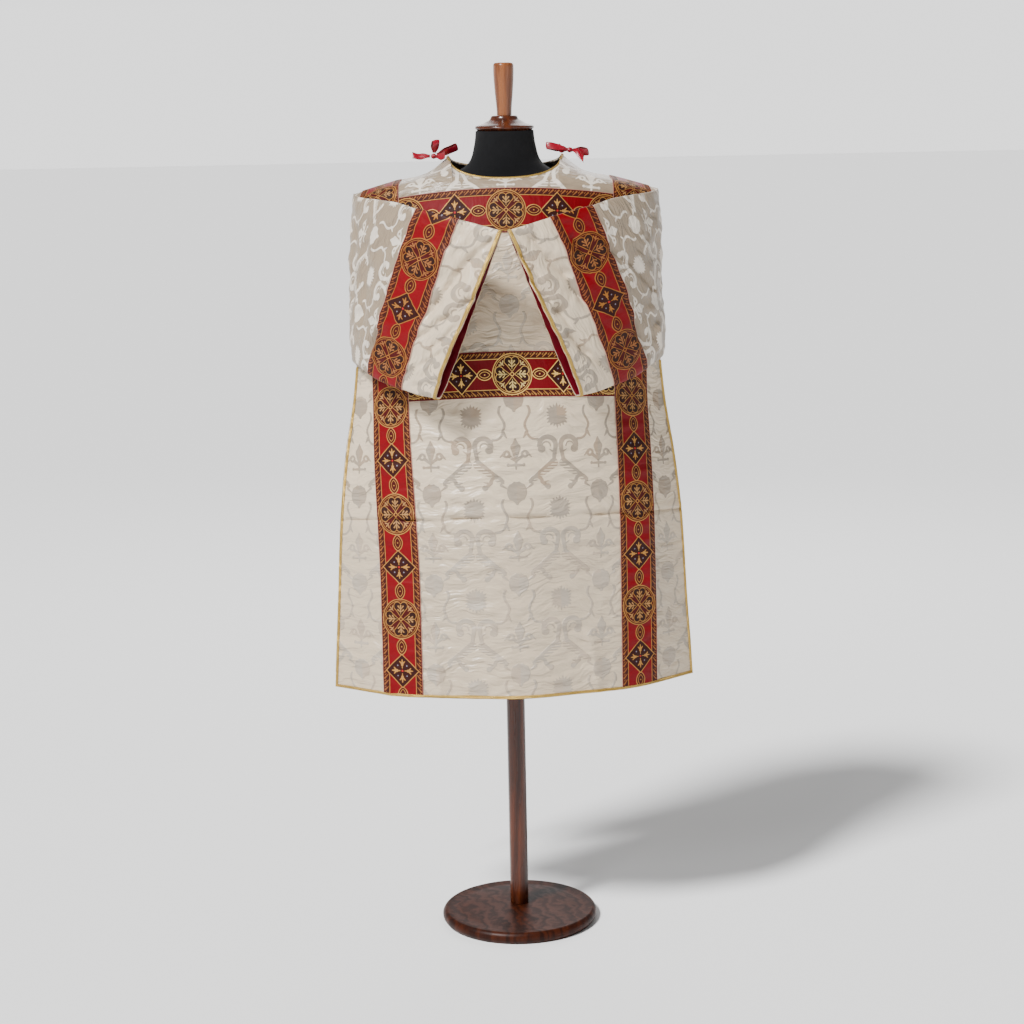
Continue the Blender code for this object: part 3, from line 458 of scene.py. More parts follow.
# Soft folds pressed into the panels, in millimetres: across and down of both ends, half width, rise.
PANEL_FOLDS = np.array([
    (-130, 505, -20, 520, 6, 1.6), (15, 500, 120, 512, 5, 1.3), (-185, 560, -90, 545, 7, -1.4),
    (95, 560, 190, 548, 6, -1.2), (-70, 600, 40, 610, 8, 1.4), (-170, 640, -60, 655, 7, 1.6),
    (30, 655, 150, 640, 7, 1.4), (-180, 715, -70, 730, 8, -1.5), (-30, 745, 80, 735, 8, 1.7),
    (100, 720, 190, 740, 7, 1.3), (-150, 790, -40, 780, 9, 1.8), (40, 810, 170, 795, 8, -1.4),
    (-100, 860, 10, 875, 10, 1.6), (-190, 900, -100, 885, 9, -1.5), (60, 885, 180, 905, 9, 1.6),
    (-60, 945, 70, 935, 10, -1.4), (-298, 620, -285, 900, 10, 3), (286, 700, 298, 960, 12, -4),
    (-170, 930, -160, 1030, 14, 3), (130, 900, 150, 1030, 16, 3), (-295, 930, -262, 1030, 10, 4),
    (262, 780, 290, 980, 12, 3.5), (-60, 205, 30, 200, 12, 1.2), (-30, 290, 70, 300, 12, 1.2)]) / 1000


def smooth_step(t):
    """0 before 0, 1 after 1, an even S-curve between."""
    t = np.clip(t, 0.0, 1.0)
    return t * t * (3 - 2 * t)


def between(value, limits):
    """0 at the first limit, 1 at the second, smooth between."""
    return smooth_step((value - limits[0]) / (limits[1] - limits[0]))


def unit(vectors):
    """Vectors over their own lengths."""
    return vectors / np.maximum(np.linalg.norm(vectors, axis=-1, keepdims=True), 1e-12)


def run_along(points, axis=0):
    """Length along a grid's lines from their first points: the sum of the steps."""
    first = np.take(points, [0], axis=axis)
    return np.cumsum(np.linalg.norm(np.diff(points, axis=axis, prepend=first), axis=-1), axis=axis)


def read_off(at, knots, values):
    """Points of a line at distances along it, straight between its knots."""
    return np.stack([np.interp(at, knots, column) for column in values.T], axis=-1)


def evenly(edges, cell):
    """Distances through every edge, in even cells no longer than the given one."""
    line = [edges[:1]]
    for a, b in zip(edges, edges[1:]):
        count = max(1, math.ceil((b - a) / cell - 1e-9))
        line.append(a + (b - a) * np.arange(1, count + 1) / count)
    return np.concatenate(line)


def soft_folds(folds, a, b):
    """Sum of folds: each a crease across its run from one point to the other, tapered at its ends."""
    total = 0.0
    for start_a, start_b, end_a, end_b, width, depth in folds:
        run_a, run_b = end_a - start_a, end_b - start_b
        length = math.hypot(run_a, run_b)
        t = ((a - start_a) * run_a + (b - start_b) * run_b) / length**2
        off = ((a - start_a) * run_b - (b - start_b) * run_a) / length
        taper = smooth_step(t / 0.25 + 0.3) * smooth_step((1 - t) / 0.25 + 0.3)
        total = total + depth * taper * np.exp(-np.abs(off / width)**1.5)
    return total


def fanned(distance, start, edge):
    """Columns beyond the clavus, spread from start to the panel's edge; the braid keeps its width."""
    spread = start + (distance - BAND_OUTER) / (EDGE_BRAID - BAND_OUTER) * (edge - BRAID_WIDTH - start)
    return np.where(distance > EDGE_BRAID, edge - (EDGE_CUT - distance), spread)


def neck_rise(across):
    """1 on the centre line and 0 from the neck opening's tips on: a superellipse."""
    return (1 - np.clip(np.abs(across) / NECK_HALF_CUT, 0, 1)**NECK_ROUND)**(1 / NECK_ROUND)


class Panel:
    """One main piece: its levels, its grid of points, and the directions out of the cloth."""

    def __init__(self, levels, facing, neck_depth, neck_height, neck_drop):
        self.levels, self.facing = levels, facing
        self.neck_depth, self.neck_height, self.neck_drop = neck_depth, neck_height, neck_drop
        self.downs = CHEST_DOWN + run_along(levels[:, :2])
        round_neck = np.sin(np.linspace(0, np.pi / 2, 33))**(2 / NECK_ROUND) * NECK_HALF_CUT
        edges = np.array([NECK_HALF_CUT, BAND_INNER, BAND_OUTER, EDGE_BRAID, EDGE_CUT])
        half = np.concatenate([round_neck[:-1], evenly(edges, CELL)])
        self.columns = np.concatenate([-half[:0:-1], half])
        self.rows_down = evenly(np.insert(self.downs, -1, self.downs[-1] - BRAID_WIDTH), CELL)
        start = self.neckline(self.columns)
        share = np.linspace(0, 1, YOKE_ROWS + 1)[:-1, None]
        self.down = np.vstack([start + (CHEST_DOWN - start) * share, self.rows_down[:, None] + 0 * start])
        self.across = self.columns + 0 * self.down
        self.points = self.worn(share)
        self.way = unit(np.cross(np.gradient(self.points, axis=1), np.gradient(self.points, axis=0)) * facing)
        self.way[0, np.abs(self.columns) >= NECK_HALF_CUT - 1e-9, 1] = 0.0
        self.way[0] = unit(self.way[0])

    def neckline(self, across):
        """Flat distance from the shoulder line to the upper edge."""
        return self.neck_drop * neck_rise(across)

    def hung(self, across, down):
        """Points below the chest, and how far each lies from the centre line in the flat cut.

        On a level x = w s, y = depth + bow s^n and z = height - drop s^2.  Columns lie by arc
        length from the centre and fan out beyond the clavus to the edge.  On the wearer's right
        the clavus leans in towards the hem.  Soft flutes grow to the hem.
        """
        s = np.linspace(0.0, 1.0, 65)[None]
        height, depth, width, edge_depth, drop = (
            through(self.downs, self.levels[:, k], down)[:, None] for k in range(5))
        line = placed(width * s, depth + (edge_depth - depth) * s**SECTION_ROUND, height - drop * s**2)
        arc = run_along(line, 1)
        lean = CLAVUS_LEAN * between(down, LEAN_DOWNS)[:, None] * (across < 0)
        u = np.abs(across) + 0 * lean
        u = np.where(u > BAND_OUTER, fanned(u, BAND_OUTER - lean, arc[:, -1:]),
                     u - lean * np.minimum(u / BAND_INNER, 1))
        points = np.stack([read_off(*row) for row in zip(u, arc, line)])
        points[..., 0] *= np.sign(across)
        points[..., 1] += (self.facing * FLUTE_DEPTH * between(down, FLUTE_DOWNS)[:, None]
                           * np.cos(2 * np.pi * u / FLUTE_PITCH))
        return points, u * np.sign(across)

    def upper_edge(self, across):
        """The neckline's oval, then the shoulder line, parted a little at the tied slit."""
        u = np.abs(across)
        rise = neck_rise(u)
        arc = NECK_HALF_CUT + run_along(SHOULDER) / SHOULDER_EASE
        seat = np.where(u > BAND_OUTER, fanned(u, BAND_OUTER, arc[-1]), u)
        neck = (u / NECK_HALF_CUT * NECK_TIP[0], self.neck_depth * rise,
                NECK_TIP[1] - (NECK_TIP[1] - self.neck_height) * rise)
        on_neck = u < NECK_HALF_CUT
        x, y, z = (np.where(on_neck, neck[k], through(arc, SHOULDER[:, k], seat)) for k in range(3))
        along = np.clip((u - NECK_HALF_CUT) / SLIT_LENGTH, 0, 1)
        gap = SEAM_GAP / 2 + SLIT_OPEN / 2 * np.sin(np.pi * along)**0.5 * (along < 1)
        y = y + self.facing * np.where(on_neck, SEAM_GAP / 2, gap)
        return placed(np.sign(across) * x, y, z), seat * np.sign(across)

    def worn(self, share):
        """The whole piece: the yoke is a Hermite curve from the upper edge to the chest, then all
        is turned about Z down to the hip, and the folds are raised along Y."""
        lower, lower_cut = self.hung(self.columns, self.rows_down)
        foot = lower[0]
        foot_way = unit(self.hung(self.columns, np.array([CHEST_DOWN + 0.01]))[0][0] - foot)
        top, top_cut = self.upper_edge(self.columns)
        self.cut_across = np.concatenate([top_cut + (lower_cut[0] - top_cut) * share, lower_cut])
        length = np.linalg.norm(foot - top, axis=-1, keepdims=True)
        top_way = unit((foot - top) * np.array([1.0, 1.0, 0.5]))
        yoke = hermite(share[..., None], top, length * top_way, foot, length * foot_way)
        x, y, z = np.moveaxis(np.concatenate([yoke, lower]), -1, 0)
        turn = TWIST * between(z, TWIST_HEIGHTS)
        return placed(x * np.cos(turn) - y * np.sin(turn) + SKIRT_SHIFT * turn / TWIST,
                      x * np.sin(turn) + y * np.cos(turn) + self.facing * self.relief(), z)

    def relief(self):
        """Folds, the pressed crease across the skirt, and shallow uneven puckers between them."""
        a, d = self.across, self.down
        below = d - self.downs[CREASE_LEVEL] - 0.0018 * np.sin(a * 31.0) - 0.0012 * np.sin(a * 83.0 + 1.0)
        crease = -0.0058 * np.exp(-(below / 0.0032)**2) * (0.75 + 0.35 * np.sin(a * 47.0))
        crease += 0.0028 * np.exp(-((below + 0.011) / 0.007)**2) * (0.6 + 0.5 * np.sin(a * 39.0 + 2.0))
        pucker = (np.sin(d * 190.0 + 2.1 * np.sin(a * 17.0) + 1.3 * np.sin(a * 41.0 + 2.0))
                  * np.sin(a * 23.0 + d * 13.0 + 1.7 * np.sin(d * 31.0)))
        pucker += 0.7 * np.sin(d * 268.0 + 2.9 * np.sin(a * 13.0 + 4.0)) * np.sin(a * 37.0 - d * 21.0 + 1.0)
        pucker += 0.45 * np.sin(d * 470.0 + 3.1 * np.sin(a * 19.0 + 1.0)) * np.sin(a * 29.0 + d * 37.0)
        pucker *= 0.0013 * (0.25 + 0.75 * smooth_step((d - 0.46) / 0.10))
        return smooth_step((d - CHEST_DOWN) / 0.05) * (1.9 * soft_folds(PANEL_FOLDS, a, d) + crease + pucker)

    def seat(self, across, down):
        """Fractional column and row of a place in the flat cut."""
        column = np.interp(across, self.columns, np.arange(len(self.columns)))
        start = self.neckline(across)
        yoke = (down - start) / (CHEST_DOWN - start) * YOKE_ROWS
        hung = YOKE_ROWS + np.interp(down, self.rows_down, np.arange(len(self.rows_down)))
        return column, np.where(down < CHEST_DOWN, yoke, hung)

    def raised(self, across, down, out):
        """Points over places of the flat cut, moved out of the cloth: bilinear in the grid."""
        column, row = self.seat(across, down)
        i = np.clip(row.astype(int), 0, len(self.points) - 2)
        j = np.clip(column.astype(int), 0, len(self.columns) - 2)
        s, t = (row - i)[..., None], (column - j)[..., None]
        point, way = ((1 - s) * ((1 - t) * grid[i, j] + t * grid[i, j + 1])
                      + s * ((1 - t) * grid[i + 1, j] + t * grid[i + 1, j + 1])
                      for grid in (self.points, self.way))
        return point + unit(way) * np.asarray(out)[..., None]

    def column(self, across):
        """The grid's column nearest a distance from the centre line."""
        return int(np.argmin(np.abs(self.columns - across)))

    def row(self, level):
        """The grid's row nearest a listed level."""
        return YOKE_ROWS + int(np.argmin(np.abs(self.rows_down - self.downs[level])))


cloths, spreads = {}, {}


def cloth(node, name, material, slot, outer, inner, cut, facing, wrap=False, **values):
    """A thin wall of cloth between two grids of points, closed at its edges, worn by the part.

    cut holds the place in the flat cut of each column (one more than the points when the grid
    wraps round); values are other numbers for each point, kept as attributes.
    """
    rows, columns = outer.shape[:2]
    row, column = np.meshgrid(np.arange(rows - 1), np.arange(columns if wrap else columns - 1), indexing="ij")
    row, column = row.ravel(), column.ravel()
    after = column + 1
    corners = [(row, column), (row + 1, column), (row + 1, after), (row, after)]
    if facing > 0:
        corners = corners[::-1]
    skin = np.stack([r * columns + c % columns for r, c in corners], axis=1)
    skin_cut = np.stack([cut[r, c] for r, c in corners], axis=1)
    count = rows * columns
    edges = skin[:, [0, 1, 1, 2, 2, 3, 3, 0]].reshape(-1, 2)
    edge_cuts = skin_cut[:, [0, 1, 1, 2, 2, 3, 3, 0]].reshape(-1, 2, 2)
    rim = ~np.isin(edges[:, 0] * count + edges[:, 1], edges[:, 1] * count + edges[:, 0])
    a, b = edges[rim].T
    quads = np.concatenate([skin, skin[:, ::-1] + count, np.stack([b, a, a + count, b + count], axis=1)])
    cuts = np.concatenate([skin_cut, skin_cut[:, ::-1], edge_cuts[rim][:, [1, 0, 0, 1]]])
    thing = new_piece(name, np.concatenate([outer.reshape(-1, 3), inner.reshape(-1, 3)]), quads, 60)
    thing.data.uv_layers.new(name="cut").data.foreach_set("uv", cuts.reshape(-1).astype(np.float32))
    for key, value in values.items():
        attribute = thing.data.attributes.new(key, "FLOAT", "POINT")
        attribute.data.foreach_set("value", np.tile(value.ravel(), 2).astype(np.float32))
    spreads[node] = spread(outer, wrap)
    cloths[node] = dress(thing, material, node)


def spread(outer, wrap):
    """Width, length and area of a grid laid flat: its longest row and column, its cells' areas."""
    grid = np.concatenate([outer, outer[:, :1]], axis=1) if wrap else outer
    across, along = run_along(grid, 1).max(), run_along(grid).max()
    crossed = np.cross(grid[1:, 1:] - grid[:-1, :-1], grid[1:, :-1] - grid[:-1, 1:])
    area = np.linalg.norm(crossed, axis=-1).sum() / 2
    return float(across), float(along), float(min(area, across * along))


def disc(at, x, y, radius):
    """Distance to a filled circle, below zero inside."""
    return at.vector("DISTANCE", (x, y, 0.0)) - radius


def ring(at, x, y, radius, half):
    """Distance to a ring of the given half width."""
    return abs(disc(at, x, y, radius)) - half


def stroke(at, start_x, start_y, end_x, end_y, half_start, half_end):
    """Distance to a straight stroke whose half width runs from one value to the other."""
    start = np.array((start_x, start_y), float)
    way = np.array((end_x, end_y)) - start
    along = way / (way @ way)
    t = at.vector("DOT_PRODUCT", (*along, 0.0)).math("SUBTRACT", float(along @ start), clamp=True)
    off = t.vector("MULTIPLY_ADD", (*way, 0.0), (*start, 0.0)).vector("DISTANCE", at)
    return off - half_start if half_start == half_end else off - (t * (half_end - half_start) + half_start)


def strokes(at, *rows):
    """A list of strokes, one for each row of numbers."""
    return [stroke(at, *row) for row in rows]


def joined_up(*distances):
    """Distance to several shapes together."""
    total = distances[0]
    for distance in distances[1:]:
        total = total.less(distance)
    return total


# The woven figure, in millimetres: a mirrored repeat with a serrated rosette on one axis and a
# fleur-de-lis on the other, volutes and feathered arms between them and a waved tendril.
FIGURE_HALF_WIDTH = 78.0
FIGURE_REPEAT = 168.0
ROSETTE_TEETH = 20
ROSETTE_DOWN = 0.509                  # of a rosette's centre in the panels' cut, in metres
ARM = (9.0, 80.0), (54.0, 117.0)


def make_damask_figure():
    """Across and down in millimetres; Figure is 1 on the motifs, Tint wanders from yarn to yarn."""
    group, (at,), out = new_group("damask_figure", "Cut", "Figure Tint")
    x, y, z = at.split()
    u = x.math("PINGPONG", FIGURE_HALF_WIDTH)
    s = y.math("FLOORED_MODULO", FIGURE_REPEAT)
    near = (y + FIGURE_REPEAT / 2).math("FLOORED_MODULO", FIGURE_REPEAT) - FIGURE_REPEAT / 2
    b = place_of(u, s)
    a = place_of(-u + FIGURE_HALF_WIDTH, s)
    # rosette: a disc with pointed petals of uneven length
    turn = u.math("ARCTAN2", near)
    teeth = abs((turn * (ROSETTE_TEETH / (2 * math.pi))).math("FRACT") - 0.5) * 11.0
    uneven = (turn * 5.0).sine() * 1.5
    rosette = place_of(u, near * 0.90).vector("LENGTH") - 15.5 - teeth + uneven
    # volute: the stem climbs, rolls over and ends in a bulb; lighter lines follow inside
    upper = s - 57.0
    volute = joined_up(ring(b, 19.5, 53.5, 14.8, 4.4).more(upper), disc(b, 30.5, 60.5, 7.0),
                       *strokes(b, (34, 55, 36.5, 63.5, 3.2, 1), (4.8, 55, 9, 81, 3.9, 3.4)),
                       ring(b, 22.0, 55.0, 7.4, 1.3).more(upper + 1.0),
                       stroke(b, 8.5, 66, 16.5, 61, 2.2, 0.5))
    # arm: a long slanted stroke, feathered with short level strokes on its inner side
    arm_way = np.subtract(ARM[1], ARM[0])
    normal = np.array([-arm_way[1], arm_way[0]]) / math.hypot(*arm_way)
    off_arm = b.vector("DOT_PRODUCT", (*normal, 0.0)) - float(normal @ np.array(ARM[0]))
    teeth_down = abs((s * (1 / 5.2)).math("FRACT") - 0.5) * 5.2 - 1.5
    feather = teeth_down.more(stroke(b, 10, 86, 50, 118, 9, 4.5))
    arm = stroke(b, *ARM[0], *ARM[1], 3.7, 2.3).less(feather.more(-off_arm))
    # scroll: back over the end of the arm and down to a leafy bulb
    scroll = joined_up(ring(b, 42.0, 120.5, 10.5, 3.2).more(s - 122.0),
                       stroke(b, 32, 119.5, 22, 129, 3.2, 3.6), disc(b, 21.0, 128.5, 5.2),
                       *strokes(b, (30, 121, 19, 118, 2.4, 0.6), (50, 124, 60, 131, 2.6, 0.8)))
    # tendril: a wave up past the rosette, which joins the volute's shoulder; leaves grow on it
    wave = (((near + 34.0) * (2 * math.pi / 50.0)).math("COSINE") * -4.7 + (u - 55.0)) * 0.87
    tendril = (abs(wave) - 2.1).more(abs(near - 4.0) - 23.0)
    shoulder = ring(b, 40.5, 27.0, 15.5, 2.1).more(-s + 27.0).more(-u + 38.0)
    leaves = strokes(b, (38.5, 42.5, 31, 46.5, 2.4, 3), (57, 30, 63, 39, 3.4, 0.8))
    tendril = joined_up(tendril, shoulder, *leaves)
    # palmette on the other axis: a broad fan, scalloped below and pointed above
    lobes = (a.split()[0] * (math.pi / 9.0)).math("COSINE")
    palmette = (disc(a, 0.0, 137.0, 19.5) + abs(lobes) * 1.4).less(stroke(a, 0, 142, 0, 158, 13, 3))
    # fleur-de-lis: spear, curls with drooping tips, bar and foot
    fleur = joined_up(*strokes(a, (0, 41, 0, 57, 1.4, 9.2), (0, 57, 0, 78, 9.2, 2.6),
                               (0, 76, 0, 95, 2.8, 1.6)), ring(a, 16.5, 68.5, 5.0, 2.2),
                      *strokes(a, (1.5, 80, 12.5, 72, 2.6, 3.2), (20.5, 66.5, 28.5, 74, 3, 0.8),
                               (0, 88, 13.5, 88.5, 2.6, 1.6)), disc(a, 14.0, 88.0, 2.9))
    figure = joined_up(rosette, volute, arm, scroll, tendril, palmette, fleur)
    tint = clouds(place_of((x * (1 / 39.0)).math("FLOOR"), (y * (1 / 42.0)).math("FLOOR")), 0.731, 0.0)
    put_out(out, figure.painted(0.9), tint)
    return group


def make_silk_hand():
    """The hand of woven silk: fine threads, and small puckers that run across the cloth."""
    group, (at,), out = new_group("silk_hand", "Cut", "Thread Pucker Slub")
    x, y, z = at.split()
    drift = clouds(at.vector("MULTIPLY", (0.010, 0.010, 1.0)), 1.0, 2.0) * 9.0
    pucker = clouds(place_of(x * 0.022, y * 0.085 + drift, 0.0), 1.0, 1.0, 0.4)
    crinkle = clouds(place_of(x * 0.070, y * 0.240 + drift * 1.7, 7.0), 1.0, 1.0, 0.4)
    slub = clouds(place_of(x * 0.030, y * 0.9, 3.0), 1.0, 2.0)
    put_out(out, (x * 7.9).sine() * (y * 6.3).sine(), pucker * 0.72 + crinkle * 0.28, slub)
    return group


damask_figure = make_damask_figure()
silk_hand = make_silk_hand()


def cut_place(tree):
    """The place in the flat cut, in millimetres."""
    node = tree.nodes.new("ShaderNodeUVMap")
    node.uv_map = "cut"
    return Field(tree, node.outputs[0]).vector("MULTIPLY", (1000.0, 1000.0, 0.0))


def silk(name, roughness, **constants):
    """A Principled material woven of silk: its parts, its place in the cut and its hand."""
    material, tree, shader = new_material(name, roughness, **constants)
    at = cut_place(tree)
    return material, tree, shader, at, use_group(tree, silk_hand, at)


def attribute(tree, name):
    """A number kept on the cloth's points."""
    node = tree.nodes.new("ShaderNodeAttribute")
    node.attribute_name = name
    return Field(tree, node.outputs["Fac"])


def damask():
    """Ivory silk: satin ground and dull figure.  Painted sheen: on the yoke, the outer sleeves and a
    little of the lower skirt the ground is painted taupe and the figure cream, as where the satin turns its
    sheen from the light; above the waist and on the inner sleeves the figure is painted paler, nearly lost in
    the sheen."""
    material, tree, shader, at, hand = silk("ivory_damask", 0.45, Sheen_Weight=0.05, Sheen_Roughness=0.4,
                                            Specular_IOR_Level=0.5)
    woven = use_group(tree, damask_figure, at)
    flip, calm = attribute(tree, "flip"), attribute(tree, "calm")
    tinted = (woven["Tint"] * 4.0 - 1.75).clamped()
    grey_figure = blended(tinted, (0.285, 0.232, 0.172), (0.315, 0.228, 0.150))
    ground = blended(flip, (0.61, 0.492, 0.350), (0.275, 0.209, 0.142))
    figure = blended(flip, blended(calm, grey_figure, (0.70, 0.61, 0.49)), (0.68, 0.60, 0.50))
    # painted shade: darker in the puckers' troughs, with the slub yarn's own tone
    pucker_shade_and_slub = hand["Pucker"] * 0.44 + hand["Slub"] * 0.18 + 0.70
    colour = blended(pucker_shade_and_slub.clamped(), (0.0, 0.0, 0.0), blended(woven["Figure"], ground, figure))
    height = woven["Figure"] * 0.00060 + hand["Pucker"] * 0.0058 + hand["Thread"] * 0.00002
    feed(shader, colour, woven["Figure"] * 0.20 + hand["Slub"] * 0.14 + 0.25, height=height)
    return material


ivory = damask()
front = Panel(FRONT_LEVELS, -1, -0.100, 1.438, 0.066)
back = Panel(BACK_LEVELS, 1, 0.066, 1.452, 0.040)
for panel, node in ((front, "front_panel"), (back, "back_panel")):
    # the fleurs stand on the centre line, the rosettes beside it
    cut = placed(panel.cut_across + FIGURE_HALF_WIDTH / 1000, panel.down - ROSETTE_DOWN)
    # painted sheen: the yoke, and up to a quarter on the lower skirt, get the taupe ground and cream figure
    flipped = np.maximum(1 - smooth_step((panel.down - CHEST_DOWN) / 0.05),
                         0.24 * smooth_step((panel.down - 0.60) / 0.16))
    # painted sheen: above the waist band the figure is painted paler, nearly lost in the sheen
    calm = 0.40 * (1 - smooth_step((panel.down - panel.downs[WAIST_LEVEL]) / 0.10))
    cloth(node, f"{node}_damask", ivory, "damask", panel.points, panel.points - CLOTH_WALL * panel.way, cut,
          panel.facing, flip=flipped, calm=calm)

# ------------------------------------------------------------------ woven orphreys
# Bands of woven silk and gilt yarn, 82 mm wide, sewn flat on the panels: the two clavi that run
# from the shoulder to the hem on each side, and the cross bands between them on chest and waist.
# The figure alternates a ring with four hearts, an eye and a lozenge with four buds.
BAND_WALL = 0.0012
ORPHREY_REPEAT = 192.0
BORDER_INNER, BORDER_OUTER = 27.5, 39.3
LOZENGE = (33.5, 31.0)
EYE_CENTRE, EYE_HALF_LENGTH, EYE_HALF_WIDTH = 51.5, 14.5, 9.6
LEAF_PITCH = 11.3
PIPING_FROM = 40.1
CLAVUS_EASE, CROSS_EASE = 0.967, 1.045
CLAVUS_RING_DOWN = {"front_right": 0.6815, "front_left": 0.6715, "back_right": 0.676, "back_left": 0.676}


def make_orphrey_figure():
    """Across and along a band in millimetres, from its middle and from a ring's centre."""
    group, (at, pale), out = new_group("orphrey_figure", "At Pale", "Colour Gilt Satin")
    x, y, z = at.split()
    t = abs(x)
    along = abs((y + ORPHREY_REPEAT / 2).math("FLOORED_MODULO", ORPHREY_REPEAT) - ORPHREY_REPEAT / 2)
    quarter_at = place_of(t, along)
    # ring and hearts, folded about both axes and the diagonals
    hearts = place_of(t.less(along), t.more(along))
    medallion = disc(quarter_at, 0.0, 0.0, 37.6)
    heart = disc(hearts, 6.5, 23.6, 7.5).less(stroke(hearts, 5, 21, 0, 6, 6.8, 1.2))
    palmette = joined_up(*strokes(hearts, (0, 9, 0, 24.5, 0.4, 1.6), (0.5, 13, 5.6, 17, 0.4, 1.3),
                                  (0.8, 18, 5, 23.5, 0.4, 1.4)))
    sprigs = joined_up(*strokes(hearts, (15, 15, 21, 21, 0.5, 1.4), (17, 18, 16.4, 23.5, 0.5, 1.2)))
    ring_lines = joined_up(abs(medallion + 1.0) - 0.75, abs(medallion + 4.2) - 0.40, abs(heart) - 0.5,
                           ring(quarter_at, 0.0, 0.0, 3.0, 0.7))
    # eye between ring and lozenge
    bow = (EYE_HALF_LENGTH**2 + EYE_HALF_WIDTH**2) / (2 * EYE_HALF_WIDTH)
    eye = disc(quarter_at, EYE_HALF_WIDTH - bow, EYE_CENTRE, bow)
    eye_lines = joined_up(abs(eye) - 0.75, abs(eye + 4.2) - 0.5, disc(quarter_at, 0.0, EYE_CENTRE, 1.3))
    # lozenge with buds and dots
    slope = 1 / math.hypot(1 / LOZENGE[0], 1 / LOZENGE[1])
    beyond = abs(along - ORPHREY_REPEAT / 2)
    lozenge = t * (slope / LOZENGE[0]) + beyond * (slope / LOZENGE[1]) - slope
    buds_at = place_of(t.less(beyond), t.more(beyond))
    buds = joined_up(*strokes(buds_at, (0, 11, 0, 21, 2.5, 0.8), (0, 12, 5.2, 17, 1.7, 0.9),
                              (0, 5, 0, 12, 0.8, 0.8)))
    # border: slanting leaves between a selvedge and a gilt line
    leaf_at = place_of(t, (y * (1 / LEAF_PITCH)).math("FRACT") * LEAF_PITCH)
    leaves = joined_up(*strokes(leaf_at, (29.8, 1.2, 37.2, 9.2, 0.5, 1.5), (34.6, 1.2, 37.6, 3.6, 0.8, 0.5)))
    # what covers what: each paint over those before it
    in_medallion, in_lozenge = medallion.painted(0.6), lozenge.painted(0.6)
    inward, line = t - BORDER_INNER, (abs(t - BORDER_INNER) - 0.6).painted(0.5)
    in_border = (-inward).painted(0.6)
    outlines = joined_up(abs(lozenge) - 0.70, eye_lines.more(-medallion), ring_lines).painted(0.5)
    deep, selvedge_red = (0.050, 0.0030, 0.0030), (0.12, 0.004, 0.006)
    gilt = blended(pale, (0.30, 0.100, 0.018), (0.76, 0.47, 0.13))
    fresh = blended(pale, (0.235, 0.062, 0.016), (0.62, 0.46, 0.17))
    colour = blended(pale, (0.170, 0.0003, 0.0038), (0.130, 0.0006, 0.0038))
    for share, paint in (
            (in_border, (0.040, 0.0060, 0.0040)),
            (leaves.painted(0.6) * in_border, blended(pale, (0.19, 0.045, 0.016), (0.36, 0.165, 0.042))),
            ((-(t - BORDER_OUTER)).painted(0.6), selvedge_red),
            ((-(t - PIPING_FROM)).painted(0.4), blended(pale, (0.46, 0.26, 0.19), selvedge_red)),
            (line, gilt), (eye.painted(0.6), deep),
            (in_lozenge, (0.026, 0.0045, 0.0035)), (in_medallion, deep),
            (heart.painted(0.6) * in_medallion, (0.022, 0.0060, 0.0040)),
            (palmette.painted(0.6) * in_medallion, fresh), (sprigs.painted(0.5) * in_medallion, fresh),
            (buds.painted(0.5) * in_lozenge, gilt),
            (disc(buds_at, 0.0, 0.0, 2.0).painted(0.5) * in_lozenge, (0.38, 0.015, 0.012)),
            (disc(buds_at, 9.4, 9.4, 1.3).painted(0.5) * in_lozenge, (0.20, 0.18, 0.22)),
            (outlines, gilt)):
        colour = blended(share, colour, paint)
    satin = inward.more(-medallion).more(-lozenge).more(-eye)
    put_out(out, colour, outlines.more(line).more(buds.painted(0.6) * in_lozenge), satin.painted(0.8))
    return group


orphrey_figure = make_orphrey_figure()


def orphrey(name, pale):
    """Silk and gilt yarn in a close rep weave; the crimson ground between figures is satin."""
    material, tree, shader, at, hand = silk(name, 0.5, Sheen_Weight=0.0, Specular_IOR_Level=0.14)
    woven = use_group(tree, orphrey_figure, at, pale)
    ribs = (at.split()[1] * 5.2).sine()
    # painted shade: darker in the puckers' troughs
    pucker_shade = hand["Pucker"] * 0.5 + 0.72
    colour = blended(pucker_shade.clamped(), (0.02, 0.0, 0.0), woven["Colour"])
    height = woven["Gilt"] * 0.00016 + ribs * 0.00002 + hand["Pucker"] * 0.0011 + woven["Satin"] * -0.00010
    feed(shader, colour, woven["Satin"] * -0.12 + hand["Slub"] * 0.12 + 0.50, woven["Gilt"] * 0.35, height)
    return material


slant_orphrey = orphrey("orphrey_slanting", 0.10)
clavus_orphrey = orphrey("orphrey_clavus", 0.28)
chest_orphrey = orphrey("orphrey_chest", 0.35)
waist_orphrey = orphrey("orphrey_waist", 1.0)


def panel_band(node, panel, rows, columns, cut, material, sides=0.0, foot=0.0):
    """A band over a block of the panel's grid, raised off it; its edges are pulled back a little."""
    a, d = panel.across[rows, columns].copy(), panel.down[rows, columns].copy()
    a[:, 0] += sides
    a[:, -1] -= sides
    d[-1] -= foot
    cloth(node, f"orphrey_{node.removeprefix('band_')}", material, "orphrey",
          panel.raised(a, d, SEAM_GAP + BAND_WALL), panel.raised(a, d, SEAM_GAP), cut(a, d), panel.facing)


